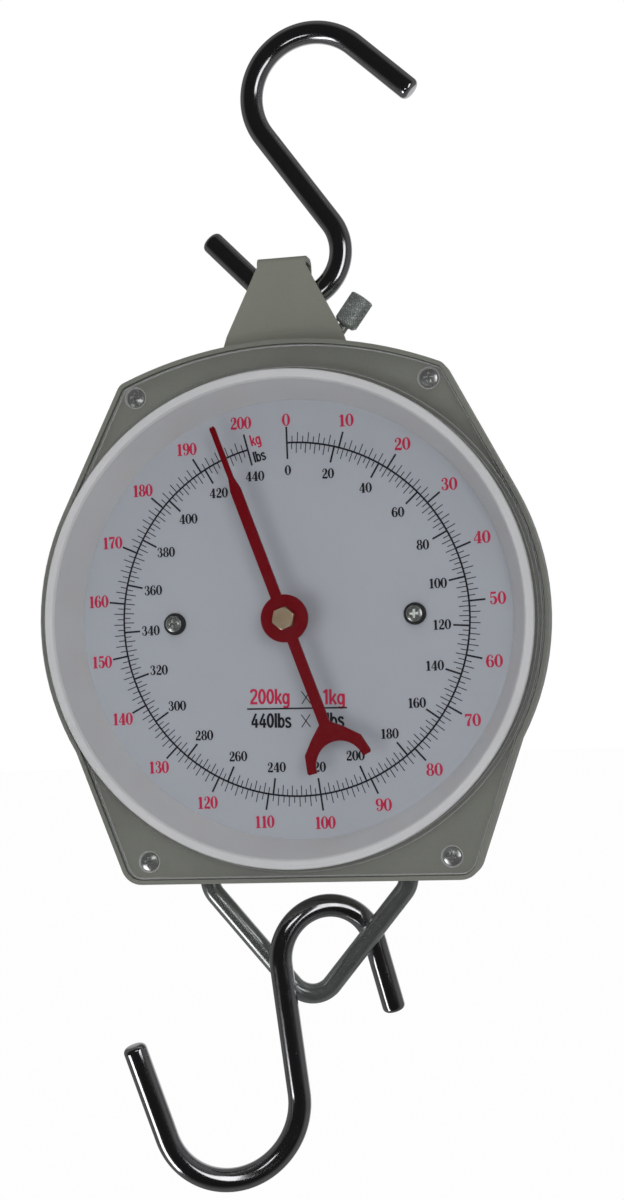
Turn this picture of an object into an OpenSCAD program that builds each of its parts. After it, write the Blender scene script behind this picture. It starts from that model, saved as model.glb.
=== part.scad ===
// Hanging dial scale for heavy loads, as an assembly of separate pieces.
// X runs to the right of the dial, Y away from the reader, Z up.
// The origin is where the upper hook sits on its bar. All sizes are millimetres and degrees.

/* [Case] */
// Radius of the round part of the case front
case_r = 122; // [118:0.5:130]
// Lean of the upper side walls from upright
upper_side_angle = 27; // [24:1:30]
// Corner radius at the top of the case
upper_corner_r = 6.5; // [4:0.5:9]
// Height of the middle of the arched top edge above the pointer axis
case_top_z = 131.5; // [130:0.5:136]
// Radius of the arched top edge
top_arc_r = 196; // [180:2:230]
// Lean of the lower side walls from upright
lower_side_angle = 20; // [18:1:22]
// Distance of the lower side walls from the pointer axis
lower_side_r = 120.4; // [119:0.2:121]
// Corner radius at the bottom of the case
lower_corner_r = 10; // [7:0.5:12]
// Depth of the straight bottom edge below the pointer axis
case_bottom_z = 123.3; // [122:0.5:126]
// Thickness of the raised rim round the front of the case
rim_t = 2; // [1.5:0.1:2.4]
// Height of the rim above the land that carries the cover
rim_h = 4; // [3.5:0.1:5]
// Thickness of the land behind the cover
land_t = 2.5; // [2:0.1:3]
// Wall thickness of the moulded case
wall_t = 3; // [2.5:0.1:3.5]
// Step from the front collar in to the tub behind it
tub_step = 5; // [4:0.5:6]
// Depth from the dial face to the outside of the back wall
case_back = 36; // [34:0.5:42]
// Depth of the rounding round the back edge
back_round = 5; // [3:0.5:6]

/* [Cover] */
// Gap between the edge of the clear cover and the rim of the case
cover_edge_gap = 0.5; // [0.3:0.1:0.8]
// Thickness of the cover flange
flange_t = 2.5; // [2:0.1:3]
// Wall thickness of the clear dome
dome_t = 2; // [1.6:0.1:2.4]
// Outer radius of the dome wall
dome_r = 118.4; // [118:0.1:119]
// Distance of the dome shoulder in front of the dial face
dome_depth = 26.4; // [26:0.2:30]
// Rise of the front of the dome from its edge to its middle
dome_rise = 3; // [2:0.5:5]
// Upper cover screws, inwards from the centre of the corner rounding
upper_screw_in = 2.7; // [1:0.1:4]
// Upper cover screws, down from the centre of the corner rounding
upper_screw_drop = 1.5; // [0:0.1:3]
// Lower cover screws, inwards from the centre of the corner rounding
lower_screw_in = 3.8; // [2:0.1:5]
// Lower cover screws, up from the centre of the corner rounding
lower_screw_rise = 0.7; // [0:0.1:2]
// Thread diameter of the cover and chassis screws
case_screw_d = 4; // [3.5:0.5:4.5]
// Head diameter of the cover and chassis screws
case_screw_head_d = 8.2; // [7.8:0.2:8.8]
// Head height of the cover and chassis screws
case_screw_head_h = 2.4; // [2:0.1:2.8]
// Length of the cover and chassis screws under the head
case_screw_len = 12; // [10:1:14]

/* [Dial] */
// Radius of the dial plate
dial_r = 107; // [106:0.5:108]
// Thickness of the dial plate
dial_t = 0.8; // [0.6:0.1:1]
// Hole for the pointer spindle in the dial plate
dial_hole_d = 12; // [10:0.5:16]
// Sideways place of the two dial screws
dial_screw_x = 58.3; // [55:0.5:62]
// Head diameter of the dial screws
dial_screw_head_d = 7.6; // [7:0.2:8.4]
// Outer diameter of the collar washers under the dial screws
collar_d = 10.5; // [10:0.5:12]
// Height of the collar washers
collar_h = 2.6; // [2:0.1:3.2]
// Width of the hexagonal dial posts across the flats
post_af = 8; // [7:0.5:10]
// Inner radius of the white surround at the dial face
surround_r = 104.5; // [103:0.5:105]
// Inner radius of the flat rim at the front of the surround
surround_rim_in = 111.4; // [110:0.2:112]
// Wall thickness of the surround
surround_t = 1.6; // [1.2:0.1:2]

/* [Pointer] */
// Angle of the pointer from twelve o'clock when nothing hangs on the scale
pointer_rest = -19; // [-25:1:0]
// Length of the pointer from its axis to the tip
pointer_len = 97.2; // [90:0.2:98]
// Width of the fine needle at the end of the pointer
needle_w = 2.6; // [2:0.1:3]
// Distance of the shoulder where the needle begins
needle_start = 70.5; // [60:0.5:76]
// Width of the pointer arm
arm_w = 5.2; // [4.5:0.1:6]
// Radius of the pointer hub
hub_r = 11.2; // [10:0.2:13]
// Distance from the axis to where the tail forks
fork_start = 52; // [48:1:56]
// Distance from the axis to the ends of the fork
fork_end = 72; // [70:0.5:76]
// Radius of the round mouth of the fork
fork_mouth_r = 11.6; // [10:0.2:12.5]
// Half width of the fork over its two prongs
fork_half_w = 15.9; // [15:0.1:17]
// Thickness of the pointer
pointer_t = 1.6; // [1.2:0.1:2]
// Distance of the pointer in front of the dial face
pointer_gap = 19.6; // [18:0.2:20]
// Diameter of the spindle
spindle_d = 5; // [4.6:0.1:5.4]
// Width of the pointer nut across the flats
pointer_nut_af = 9.5; // [9:0.5:10]
// Height of the pointer nut
pointer_nut_h = 3.4; // [3:0.1:3.6]

/* [Hanger] */
// Diameter of the rod of both hooks
hook_rod_d = 11; // [10:0.5:12]
// Plate thickness of the folded hanger bracket
strap_t = 2; // [1.8:0.1:2.2]
// Gap between the hook rod and each leg of the bracket
strap_gap = 0.3; // [0.2:0.05:0.6]
// Depth of the load line behind the dial face
load_y = 10; // [10:0.1:10.5]
// Height of the fold of the bracket above the pointer axis
strap_top_z = 174; // [170:1:180]
// Outer radius of the two bends of the fold
strap_bend_r = 4; // [3:0.5:6]
// Width of the bracket at its fold
strap_fold_w = 23.6; // [22:0.2:26]
// Distance below the fold where the front leg begins to widen
strap_front_drop = 4.5; // [3:0.5:8]
// Distance below the fold where the rear leg begins to widen
strap_rear_drop = 22; // [18:1:26]
// Width of the front leg where it enters the case
strap_base_w = 61; // [58:0.5:64]
// Width of the rear leg where it enters the case
strap_rear_w = 44; // [42:0.5:46]
// Width of both legs at their lower end
strap_foot_w = 40; // [38:1:42]
// Height of the lower end of the legs above the pointer axis
strap_foot_z = 50; // [48:1:52]
// Gap between the bracket and the slots in the case
slot_gap = 0.4; // [0.3:0.1:0.8]

/* [Hooks] */
// Bend radius of the upper hook where it goes over its bar
top_bar_bend_r = 30.6; // [28:0.2:34]
// Bend radius of the upper hook in the bracket
top_eye_bend_r = 23.2; // [22:0.2:25]
// Length of the straight between the two bends of the upper hook
top_shank_len = 54.5; // [50:0.5:60]
// Lean of that straight from upright
top_shank_lean = 35; // [32:1:38]
// Length of the straight end of the upper hook beyond the bracket
top_tail_len = 35.5; // [30:0.5:40]
// Length of the straight end of the upper hook beyond its bar
top_tip_len = 37; // [30:0.5:42]
// Sideways place of the lower bend of the upper hook
top_eye_x = 4.8; // [0:0.2:6]
// Height of the lower bend's centre above the pointer axis
top_eye_z = 176.6; // [174:0.2:178]
// Bend radius of the load hook round its load
load_bar_bend_r = 33.2; // [30:0.2:35]
// Bend radius of the load hook in the bail
load_eye_bend_r = 24.1; // [22.5:0.1:24.5]
// Length of the straight between the two bends of the load hook
load_shank_len = 60.6; // [56:0.2:64]
// Lean of that straight from upright
load_shank_lean = 6; // [4:1:8]
// Length of the straight end of the load hook beyond the bail
load_tail_len = 36; // [30:0.5:40]
// Length of the straight end of the load hook beyond its load
load_tip_len = 46; // [40:0.5:50]
// Sideways place of the upper bend of the load hook
load_eye_x = 8.5; // [8:0.1:9]
// Depth of the upper bend of the load hook below the pointer axis
load_eye_z = 161.1; // [160:0.1:163]
// Angle by which the eye bends of both hooks are opened from a half turn
eye_open = 8.5; // [7:0.5:11]
// Angle by which the outer bends of both hooks are opened from a half turn
bar_open = 12; // [9:1:15]
// Radius that rounds the cut ends of the hook rods
hook_end_r = 2.5; // [1:0.5:4]

/* [Springs and yoke] */
// Wire diameter of the main springs
spring_wire_d = 4; // [3.6:0.2:4.2]
// Mean coil diameter of the main springs
spring_coil_d = 13; // [12:0.5:13]
// Sideways place of the main springs
spring_x = 32; // [30:0.5:33]
// Diameter of the pins that hold the spring ends
spring_pin_d = 6; // [5:0.5:6.5]
// Width across the slot between the two crossbar plates
slot_w = 4.6; // [4.4:0.1:5]
// Height of the crossbar above the pointer axis
crossbar_z = 60; // [58:0.5:62]
// Depth of the crossbar plates
crossbar_h = 12; // [11:0.5:13]
// Diameter of the rivets through the bracket and the crossbar
rivet_d = 7; // [6:0.5:7.5]
// Sideways place of those rivets
rivet_x = 14; // [13:0.5:15]
// Depth of the load yoke below the pointer axis
yoke_z = 84; // [82:0.5:84]
// Height of the load yoke
yoke_h = 10; // [9:0.5:10.5]
// Thickness of the load yoke
yoke_t = 14; // [12.5:0.5:15]
// Travel of the load yoke at full load
travel = 25.6; // [20:0.1:26]
// Sideways place of the rubber stops under the yoke
stop_x = 20; // [16:1:30]
// Diameter of the rubber stops
stop_d = 9; // [7:0.5:12]

/* [Bail] */
// Diameter of the bail rod
bail_rod_d = 9.5; // [9:0.5:10]
// Sideways place of the upright legs of the bail
bail_leg_x = 48.5; // [47:0.5:50]
// Slope of the lower legs of the bail
bail_slope = 50; // [48:1:52]
// Depth of the bends between upright and sloping legs
bail_knee_z = 128; // [127:0.5:130]
// Bend radius of those bends
bail_knee_r = 12; // [10:0.5:14]
// Bend radius at the bottom of the bail
bail_vee_r = 12.6; // [11:0.2:15]
// Thread diameter at the upper ends of the bail
bail_stud_d = 8; // [7:0.5:8]
// Width of the bail nuts across the flats
bail_nut_af = 13; // [12:0.5:13]
// Height of the bail nuts
bail_nut_h = 6.5; // [5:0.5:8]

/* [Rack and pinion] */
// Gear module of rack and pinion
gear_m = 0.8; // [0.8:0.01:0.82]
// Number of pinion teeth
pinion_n = 10; // [10:1:10]
// Profile shift of the pinion, as a share of the module
gear_shift = 0.4; // [0.38:0.01:0.42]
// Play between the tooth flanks
gear_play = 0.12; // [0.1:0.01:0.16]
// Face width of the pinion
pinion_w = 6; // [5:0.5:7]
// Thickness of the rack
rack_t = 4; // [3:0.5:4.2]
// Width of the rack bar behind its teeth
rack_back_w = 4.4; // [4:0.2:5]
// Diameter of the pin that joins the rack to the yoke
rack_pin_d = 4; // [3:0.5:4]
// Diameter of the roller that backs the rack
roller_d = 7; // [6:0.5:8]
// Diameter of the roller stud
roller_stud_d = 3; // [2.5:0.5:3.5]
// Running gap on the radius of every turning piece
running_gap = 0.05; // [0.02:0.01:0.09]
// Outer diameter of the bearing bushes
bush_d = 9; // [8:0.5:10]
// Thickness of the chassis plate
chassis_t = 2; // [1.5:0.1:2.5]
// Thickness of the movement bridge
bridge_t = 1.5; // [1.2:0.1:1.8]

/* [Zero adjuster] */
// Lean of the thumb screw from upright
thumb_lean = 37; // [35:1:39]
// Sideways place of the underside of the thumb screw head
thumb_x = 29.3; // [28.5:0.1:30]
// Height of the underside of the thumb screw head
thumb_z = 141.1; // [140.5:0.1:142]
// Diameter of the thumb screw head
thumb_head_d = 11; // [10:0.5:11.5]
// Length of the thumb screw head
thumb_head_len = 14.2; // [12:0.2:16]
// Diameter of the thumb screw shank
thumb_shank_d = 5; // [4.5:0.1:5.2]
// Thickness of the zero lever and of the tang on the rack
lever_t = 1.5; // [1.2:0.1:2]
// Sideways place of the zero lever pivot
lever_pivot_x = 16; // [15.5:0.1:16.5]
// Height of the zero lever pivot
lever_pivot_z = 92; // [91.5:0.1:92.5]

/* [Hidden] */
$fn = 96;
small = 0.01;
seat_gap = 0.3;
rod_step = 0.08;
rod_lap = 0.4;

// Upper corner of the case: centre of its arc for a rounding r and an inset of the outline
top_arc_z = case_top_z - top_arc_r;
function upper_t(reach, arc, n) =
    let (b = cos(n) * (reach * sin(n) - top_arc_z) - sin(n) * reach * cos(n),
         c = reach * reach * cos(n) * cos(n) + pow(reach * sin(n) - top_arc_z, 2) - arc * arc)
    -b + sqrt(b * b - c);
function upper_corner(inset, r) =
    let (n = upper_side_angle,
         reach = case_r - inset - r,
         t = upper_t(reach, top_arc_r - inset - r, n))
    [reach * cos(n) - t * sin(n), reach * sin(n) + t * cos(n)];
function lower_corner(inset, r, side) =
    let (z = case_bottom_z - inset - r)
    [(side - inset - r - z * sin(lower_side_angle)) / cos(lower_side_angle), -z];

upper_screw = upper_corner(0, upper_corner_r) - [upper_screw_in, upper_screw_drop];
lower_screw = lower_corner(0, lower_corner_r, lower_side_r) - [lower_screw_in, -lower_screw_rise];
tub_upper_r = upper_corner_r + 2;
tub_lower_r = lower_corner_r + 1;
boss_d = 2 * case_screw_d;
rib_from = dial_r - 6;
rib_t = 2.4;

// Depth stations, counted from the dial face
land_y = -flange_t - 6;
rim_y = land_y - rim_h;
cover_sink = 1.3;
strap_in = hook_rod_d / 2 + strap_gap;
strap_out = strap_in + strap_t;
collar_back_y = load_y - strap_out - slot_gap;
tub_inset = tub_step + wall_t;
back_in_y = case_back - wall_t;
well_r = surround_rim_in + 0.6;
dome_in_r = dome_r - dome_t;
surround_rim_out = dome_in_r - seat_gap;
surround_depth = dome_depth - dome_t - 0.4;
chassis_y = load_y + strap_out;

// Bracket outline heights
strap_shoulder_z = 137;
strap_entry_z = 130;
strap_waist_z = 97;

// Main springs
spring_r = spring_coil_d / 2;
spring_hook_rise = spring_pin_d / 2 + seat_gap + spring_wire_d / 2;
spring_top_z = crossbar_z + spring_hook_rise - spring_r;
spring_bottom_z = -yoke_z - spring_hook_rise + spring_r;
spring_leg = 7.4;
stop_h = case_bottom_z - tub_inset - yoke_z - yoke_h / 2 - travel - seat_gap;

// Rack and pinion
pitch_r = gear_m * pinion_n / 2;
pressure = 20;
base_r = pitch_r * cos(pressure);
rack_line = pitch_r + gear_shift * gear_m;
rack_tip = rack_line - 0.875 * gear_m;
rack_root = rack_line + 1.06 * gear_m;
pinion_tip_r = rack_line + 0.79 * gear_m;
pinion_root_r = rack_tip - 0.2 * gear_m;
rack_pitch = PI * gear_m;
rack_back = rack_root + rack_back_w;
rack_mid_x = (rack_root + rack_back) / 2;
rack_teeth_up = ceil((travel + 4) / rack_pitch);
rack_tang = 6;
rack_eye_d = rack_pin_d + 5;
rack_top_z = (rack_teeth_up + 1) * rack_pitch + rack_tang;
roller_x = rack_back + roller_d / 2 + running_gap;
bridge_y = load_y - pinion_w / 2 - 1.4 - bridge_t;
chassis_top = [26, 104];
chassis_foot = [12, -26];
chassis_edge = 7;
chassis_spots = [[-chassis_top[0], chassis_top[1]], chassis_top,
    [-chassis_foot[0], chassis_foot[1]], chassis_foot];
pillar_spots = [[-13, 0], [15, 11], [15, -11]];

// Pointer stack along the spindle
pointer_back_y = -pointer_gap;
pointer_front_y = pointer_back_y - pointer_t;
nut_front_y = pointer_front_y - pointer_nut_h;
spindle_front_y = nut_front_y - 0.5;

// Zero adjuster, measured along the screw from the underside of its head
block_from = 26;
block_len = 10;
block_w = 13;
screw_collar_d = 8;
nut_from = 38.8;
nut_len = 6;
shank_len = 45.8;
nose_end = shank_len + 2.2;
lever_pad_r = 3.5;
lever_pad_at = nose_end + seat_gap + lever_pad_r;
function on_screw(s) = [thumb_x - s * sin(thumb_lean), thumb_z - s * cos(thumb_lean)];
zero_spring_top_z = 86;
zero_spring_d = slot_w - 0.4;
zero_wire_d = 0.8;
zero_spring_r = (zero_spring_d - zero_wire_d) / 2;

// Upper hook in its own plane
hook_reach = top_bar_bend_r + top_eye_bend_r;
seat_x = top_eye_x + hook_reach * cos(top_shank_lean) - top_shank_len * sin(top_shank_lean);
seat_z = top_eye_z + hook_reach * sin(top_shank_lean) + top_shank_len * cos(top_shank_lean)
    + top_bar_bend_r - hook_rod_d / 2;

// The load hook stands askew in the bail: its shank in front of one leg, its end behind the other
hook_pass = bail_rod_d / 2 + hook_rod_d / 2 + seat_gap;
load_hook_yaw = asin(hook_pass / load_eye_bend_r) + 4;

case_colour = [0.40, 0.41, 0.37];
steel_colour = [0.62, 0.64, 0.64];
chrome_colour = [0.75, 0.75, 0.77];
brass_colour = [0.72, 0.6, 0.35];
red_colour = [0.55, 0.02, 0.06];
white_colour = [0.9, 0.9, 0.91];
dial_colour = [0.82, 0.84, 0.88];
rubber_colour = [0.1, 0.1, 0.1];

// Moves from the pointer axis on the dial face to the part's origin
module at_dial() {
    translate([-seat_x, -load_y, -seat_z]) children();
}

// Extrudes an outline drawn in X and Z from depth y0 to depth y1
module deep(y0, y1) {
    translate([0, y1, 0]) rotate([90, 0, 0]) linear_extrude(y1 - y0) children();
}

// Revolves a profile of radius and depth about the pointer axis
module turned() {
    rotate([-90, 0, 0]) rotate_extrude() children();
}

// Round bar along Y at a place in X and Z
module bar(x, z, d, y0, y1) {
    translate([x, y0, z]) rotate([-90, 0, 0]) cylinder(d = d, h = y1 - y0);
}

// Hexagonal bar along Y
module hex_bar(x, z, af, y0, y1) {
    translate([x, y0, z]) rotate([-90, 0, 0]) cylinder(d = af / cos(30), h = y1 - y0, $fn = 6);
}

module both_sides() {
    children();
    mirror([1, 0, 0]) children();
}

module at_corners() {
    both_sides() {
        translate([upper_screw[0], 0, upper_screw[1]]) children();
        translate([lower_screw[0], 0, lower_screw[1]]) children();
    }
}

// Points of an arc from angle a0 to angle a1
function arc_points(c, r, a0, a1, steps, first = 0) =
    [for (k = [first : steps]) c + r * [cos(a0 + (a1 - a0) * k / steps), sin(a0 + (a1 - a0) * k / steps)]];

// Outline of the case, moved in by an inset, with the corner radii given for that inset
function outline_points(inset, side, r_up, r_low) =
    let (up = upper_corner(inset, r_up),
         low = lower_corner(inset, r_low, side),
         lean = atan2(up[1] - top_arc_z, up[0]),
         leave = -lower_side_angle - acos((side - inset) / (case_r - inset)),
         half = concat(
             arc_points([0, top_arc_z], top_arc_r - inset, 90, lean, 12),
             arc_points(up, r_up, lean, upper_side_angle, 6, 1),
             arc_points([0, 0], case_r - inset, upper_side_angle, leave, 18),
             arc_points(low, r_low, -lower_side_angle, -90, 8)))
    concat(half, [for (k = [len(half) - 1 : -1 : 1]) [-half[k][0], half[k][1]]]);

// Outline of the front collar
module case_outline(inset = 0) {
    polygon(outline_points(inset, lower_side_r, upper_corner_r - inset, lower_corner_r - inset));
}

// Outline of the tub behind it
module tub_outline(inset) {
    polygon(outline_points(inset, case_r, tub_upper_r + tub_step - inset, tub_lower_r + tub_step - inset));
}

// One slice of the tub, its outline pulled in by a share of the back rounding
module tub_slice(y, share) {
    deep(y - small, y) tub_outline(tub_step + share * back_round);
}

// Moulded tub behind the front collar, with a rounded back edge
module tub() {
    deep(collar_back_y - 1, case_back - back_round) tub_outline(tub_step);
    hull() {
        tub_slice(case_back - back_round, 0);
        tub_slice(case_back - 0.6 * back_round, 0.09);
        tub_slice(case_back - 0.25 * back_round, 0.35);
        tub_slice(case_back, 0.85);
    }
}

module case() {
    color(case_colour) at_dial() difference() {
        union() {
            difference() {
                union() {
                    deep(rim_y, collar_back_y) case_outline(0);
                    tub();
                }
                deep(rim_y - 1, land_y) case_outline(rim_t);
                deep(land_y + land_t, collar_back_y - wall_t) case_outline(wall_t);
                deep(collar_back_y - wall_t - 1, back_in_y) tub_outline(tub_inset);
                bar(0, 0, 2 * well_r, land_y - 1, land_y + land_t + 1);
            }
            at_corners() bar(0, 0, boss_d, land_y + 1, back_in_y + 1);
            for (p = chassis_spots)
                bar(p[0], p[1], boss_d, chassis_y + chassis_t, back_in_y + 1);
            for (a = [20, 55, 125, 160, 200, 340])
                rotate([0, -a, 0]) translate([rib_from, dial_t, -rib_t / 2])
                    cube([case_r - tub_inset - rib_from + 1, back_in_y - dial_t + 1, rib_t]);
        }
        at_corners() bar(0, 0, case_screw_d - 0.6, land_y - 1, land_y + case_screw_len + 2);
        for (p = chassis_spots)
            bar(p[0], p[1], case_screw_d - 0.6, chassis_y, chassis_y + case_screw_len + 1);
        // Slots for the legs of the bracket
        slot(strap_base_w, load_y - strap_out);
        slot(strap_rear_w, load_y + strap_in);
        // Way in for the thumb screw
        along_screw(8) cylinder(d = screw_collar_d + 1.4, h = block_from - 7);
        // Pocket for the block that carries it
        along_screw(block_from - 0.4) translate([-block_w / 2 - 0.4, -strap_in - 0.2, 0])
            cube([block_w + 0.8, 2 * strap_in + 0.4, block_len]);
        // Ways out for the bail
        both_sides() translate([bail_leg_x, load_y, -case_bottom_z - 1])
            cylinder(d = bail_rod_d + 1.2, h = 20);
    }
}

// Slot through the top wall for one leg of the bracket
module slot(w, y) {
    translate([-w / 2 - slot_gap, y - slot_gap, strap_waist_z + 10])
        cube([w + 2 * slot_gap, strap_t + 2 * slot_gap, 30]);
}

// Puts things on the screw axis, s behind the underside of its head, pointing back along the screw
module along_screw(s) {
    p = on_screw(s);
    translate([p[0], load_y, p[1]]) rotate([0, thumb_lean + 180, 0]) children();
}

module clear_cover() {
    front_y = -dome_depth;
    color([0.9, 0.93, 0.95, 0.3]) at_dial() difference() {
        union() {
            deep(land_y - flange_t, land_y) difference() {
                case_outline(rim_t + cover_edge_gap);
                circle(r = dome_in_r);
            }
            turned() dome_profile(front_y);
        }
        at_corners() {
            bar(0, 0, case_screw_head_d + 1.6, land_y - flange_t - 1, land_y - cover_sink);
            bar(0, 0, case_screw_d + 0.4, land_y - flange_t - 1, land_y + 1);
        }
    }
}

// Half section of the dome: wall, rounded shoulder and gently crowned front
module dome_profile(front_y) {
    shoulder_r = 4;
    crown_r = (pow(dome_r - shoulder_r, 2) + pow(dome_rise, 2)) / (2 * dome_rise);
    difference() {
        union() {
            translate([0, front_y + shoulder_r]) square([dome_r, land_y - front_y - shoulder_r]);
            translate([dome_r - shoulder_r, front_y + shoulder_r]) circle(r = shoulder_r);
            translate([0, front_y]) square([dome_r - shoulder_r, shoulder_r + 1]);
            crown(crown_r, front_y);
        }
        translate([0, front_y + shoulder_r]) square([dome_in_r, 60]);
        translate([0, front_y + dome_t]) square([dome_r - shoulder_r, shoulder_r + 1]);
        translate([dome_r - shoulder_r, front_y + shoulder_r]) circle(r = shoulder_r - dome_t);
        translate([0, dome_t]) crown(crown_r, front_y);
        translate([-2 * dome_r, -100]) square([2 * dome_r, 200]);
    }
}

module crown(r, front_y) {
    intersection() {
        translate([0, front_y - dome_rise + r]) circle(r = r, $fn = 360);
        translate([0, front_y - dome_rise]) square([dome_r - 4, dome_rise + 0.5]);
    }
}

// Cross-recessed pan-head screw along Y, its head seat at depth y
module pan_screw(x, z, y, d = case_screw_d - 0.7, head_d = case_screw_head_d, head_h = case_screw_head_h,
    len = case_screw_len) {
    difference() {
        union() {
            bar(x, z, d, y - 0.5, y + len);
            translate([x, y, z]) rotate([90, 0, 0]) rotate_extrude() intersection() {
                square([head_d / 2, head_h]);
                translate([0, head_h - head_d]) circle(r = head_d);
            }
        }
        for (a = [0, 90])
            translate([x, y - head_h, z]) rotate([0, a, 0])
                cube([head_d * 0.55, head_h * 1.1, head_d * 0.14], center = true);
    }
}

module cover_screws() {
    color(steel_colour) at_dial() at_corners() pan_screw(0, 0, land_y - cover_sink);
}

module dial_surround() {
    tip_y = -surround_depth;
    color(white_colour) at_dial() turned() polygon([
        [surround_r, 0],
        [surround_rim_in, tip_y + 1.2],
        [surround_rim_in + 0.9, tip_y],
        [surround_rim_out - 0.6, tip_y],
        [surround_rim_out, tip_y + 0.6],
        [surround_rim_out, tip_y + surround_t + 1.6],
        [surround_rim_out - surround_t, tip_y + surround_t + 1.6],
        [surround_rim_out - surround_t, tip_y + surround_t + 0.4],
        [surround_rim_in + surround_t, tip_y + surround_t + 0.4],
        [surround_r + surround_t, 0]]);
}

module dial_plate() {
    color(dial_colour) at_dial() difference() {
        deep(0, dial_t) circle(r = dial_r);
        bar(0, 0, dial_hole_d, -1, dial_t + 1);
        both_sides() bar(dial_screw_x, 0, case_screw_d + 0.4, -1, dial_t + 1);
    }
}

module dial_screws() {
    color(steel_colour) at_dial() for (s = [-1, 1])
        pan_screw(s * dial_screw_x, 0, -collar_h, case_screw_d, dial_screw_head_d);
}

module dial_collars() {
    color(rubber_colour) at_dial() for (s = [-1, 1]) difference() {
        translate([s * dial_screw_x, 0, 0]) turned() polygon([
            [0, -collar_h], [collar_d / 2 - 0.8, -collar_h], [collar_d / 2, 0.8 - collar_h],
            [collar_d / 2, 0], [0, 0]]);
        bar(s * dial_screw_x, 0, case_screw_d + 0.4, -collar_h - 1, 1);
    }
}

module dial_posts() {
    color(steel_colour) at_dial() for (s = [-1, 1]) difference() {
        hex_bar(s * dial_screw_x, 0, post_af, dial_t, back_in_y);
        bar(s * dial_screw_x, 0, case_screw_d + 0.1, dial_t - 1, dial_t + case_screw_len);
    }
}

// Side view of the folded strap: two legs and a fold with rounded bends
module strap_profile() {
    w = strap_out;
    module fold(half, r) {
        translate([0, strap_foot_z]) square([half, strap_top_z - strap_foot_z - (strap_out - half) - r]);
        translate([0, strap_foot_z]) square([half - r, strap_top_z - strap_foot_z - (strap_out - half)]);
        translate([half - r, strap_top_z - (strap_out - half) - r]) circle(r = r);
    }
    difference() {
        both_sides() fold(w, strap_bend_r);
        translate([0, -1]) both_sides() fold(strap_in, strap_bend_r - strap_t);
    }
}

// Front view of a leg, from the fold to its foot
module leg_outline(base_w, from_z) {
    half = [[0, strap_top_z + 1], [strap_fold_w / 2, strap_top_z + 1], [strap_fold_w / 2, from_z],
        [base_w / 2 - 2.4, strap_shoulder_z], [base_w / 2, strap_entry_z], [base_w / 2, strap_entry_z - 14],
        [strap_foot_w / 2, strap_waist_z], [strap_foot_w / 2, strap_foot_z - 1], [0, strap_foot_z - 1]];
    both_sides() polygon(half);
}

module hanger_bracket() {
    color(case_colour) at_dial() difference() {
        intersection() {
            translate([-40, load_y, 0]) rotate([90, 0, 90]) linear_extrude(80) strap_profile();
            union() {
                deep(load_y - strap_out - 1, load_y)
                    leg_outline(strap_base_w, strap_top_z - strap_front_drop);
                deep(load_y, load_y + strap_out + 1)
                    leg_outline(strap_rear_w, strap_top_z - strap_rear_drop);
            }
        }
        for (x = [-rivet_x, rivet_x])
            bar(x, crossbar_z, rivet_d + 0.1, load_y - 20, load_y + 20);
        bar(lever_pivot_x, lever_pivot_z, roller_stud_d + 0.1, load_y - 20, load_y + 20);
    }
}

module crossbar_plates() {
    plate_t = strap_in - slot_w / 2;
    color(steel_colour) at_dial() for (s = [-1, 1]) difference() {
        translate([0, load_y + s * (slot_w + plate_t) / 2, 0])
            deep(-plate_t / 2, plate_t / 2) capsule(spring_x, crossbar_z, crossbar_h);
        for (x = [-rivet_x, rivet_x])
            bar(x, crossbar_z, rivet_d + 0.1, 0, 2 * load_y);
        for (x = [-spring_x, spring_x])
            bar(x, crossbar_z, spring_pin_d + 0.1, 0, 2 * load_y);
    }
}

// Flat bar with round ends, centred on the middle line
module capsule(half, z, h) {
    translate([-half, z - h / 2]) square([2 * half, h]);
    for (x = [-half, half])
        translate([x, z]) circle(d = h);
}

module crossbar_rivets() {
    color(steel_colour) at_dial() for (x = [-rivet_x, rivet_x])
        bar(x, crossbar_z, rivet_d, load_y - strap_out, chassis_y + chassis_t);
}

module upper_spring_pins() {
    color(steel_colour) at_dial() for (x = [-spring_x, spring_x])
        bar(x, crossbar_z, spring_pin_d, load_y - strap_in, load_y + strap_in);
}

module chassis_plate() {
    color(steel_colour) at_dial() difference() {
        deep(chassis_y, chassis_y + chassis_t) {
            translate([-strap_foot_w / 2, chassis_foot[1] - chassis_edge])
                square([strap_foot_w, chassis_top[1] - chassis_foot[1] + 2 * chassis_edge]);
            translate([-chassis_top[0] - chassis_edge, chassis_top[1] - chassis_edge])
                square([2 * (chassis_top[0] + chassis_edge), 2 * chassis_edge]);
        }
        for (p = chassis_spots)
            bar(p[0], p[1], case_screw_d + 0.4, chassis_y - 1, chassis_y + 10);
        for (x = [-rivet_x, rivet_x])
            bar(x, crossbar_z, rivet_d + 0.1, chassis_y - 1, chassis_y + 10);
        bar(0, 0, bush_d + 0.1, chassis_y - 1, chassis_y + 10);
        bar(roller_x, 0, roller_stud_d + 0.1, chassis_y - 1, chassis_y + 10);
        for (p = pillar_spots)
            bar(p[0], p[1], 2.1, chassis_y - 1, chassis_y + 10);
    }
}

module chassis_screws() {
    color(steel_colour) at_dial() for (p = chassis_spots)
        pan_screw(p[0], p[1], chassis_y);
}

module movement_bridge() {
    color(steel_colour) at_dial() difference() {
        union() {
            deep(bridge_y, bridge_y + bridge_t)
                polygon([pillar_spots[0] + [0, 4.5], pillar_spots[1] + [0, 4.5], pillar_spots[2] - [0, 4.5],
                    pillar_spots[0] - [0, 4.5]]);
            for (p = pillar_spots)
                bar(p[0], p[1], 10, bridge_y, bridge_y + bridge_t);
        }
        bar(0, 0, bush_d + 0.1, 0, 20);
        bar(roller_x, 0, roller_stud_d + 0.1, 0, 20);
        for (p = pillar_spots)
            bar(p[0], p[1], 2.6, 0, 20);
    }
}

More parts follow.
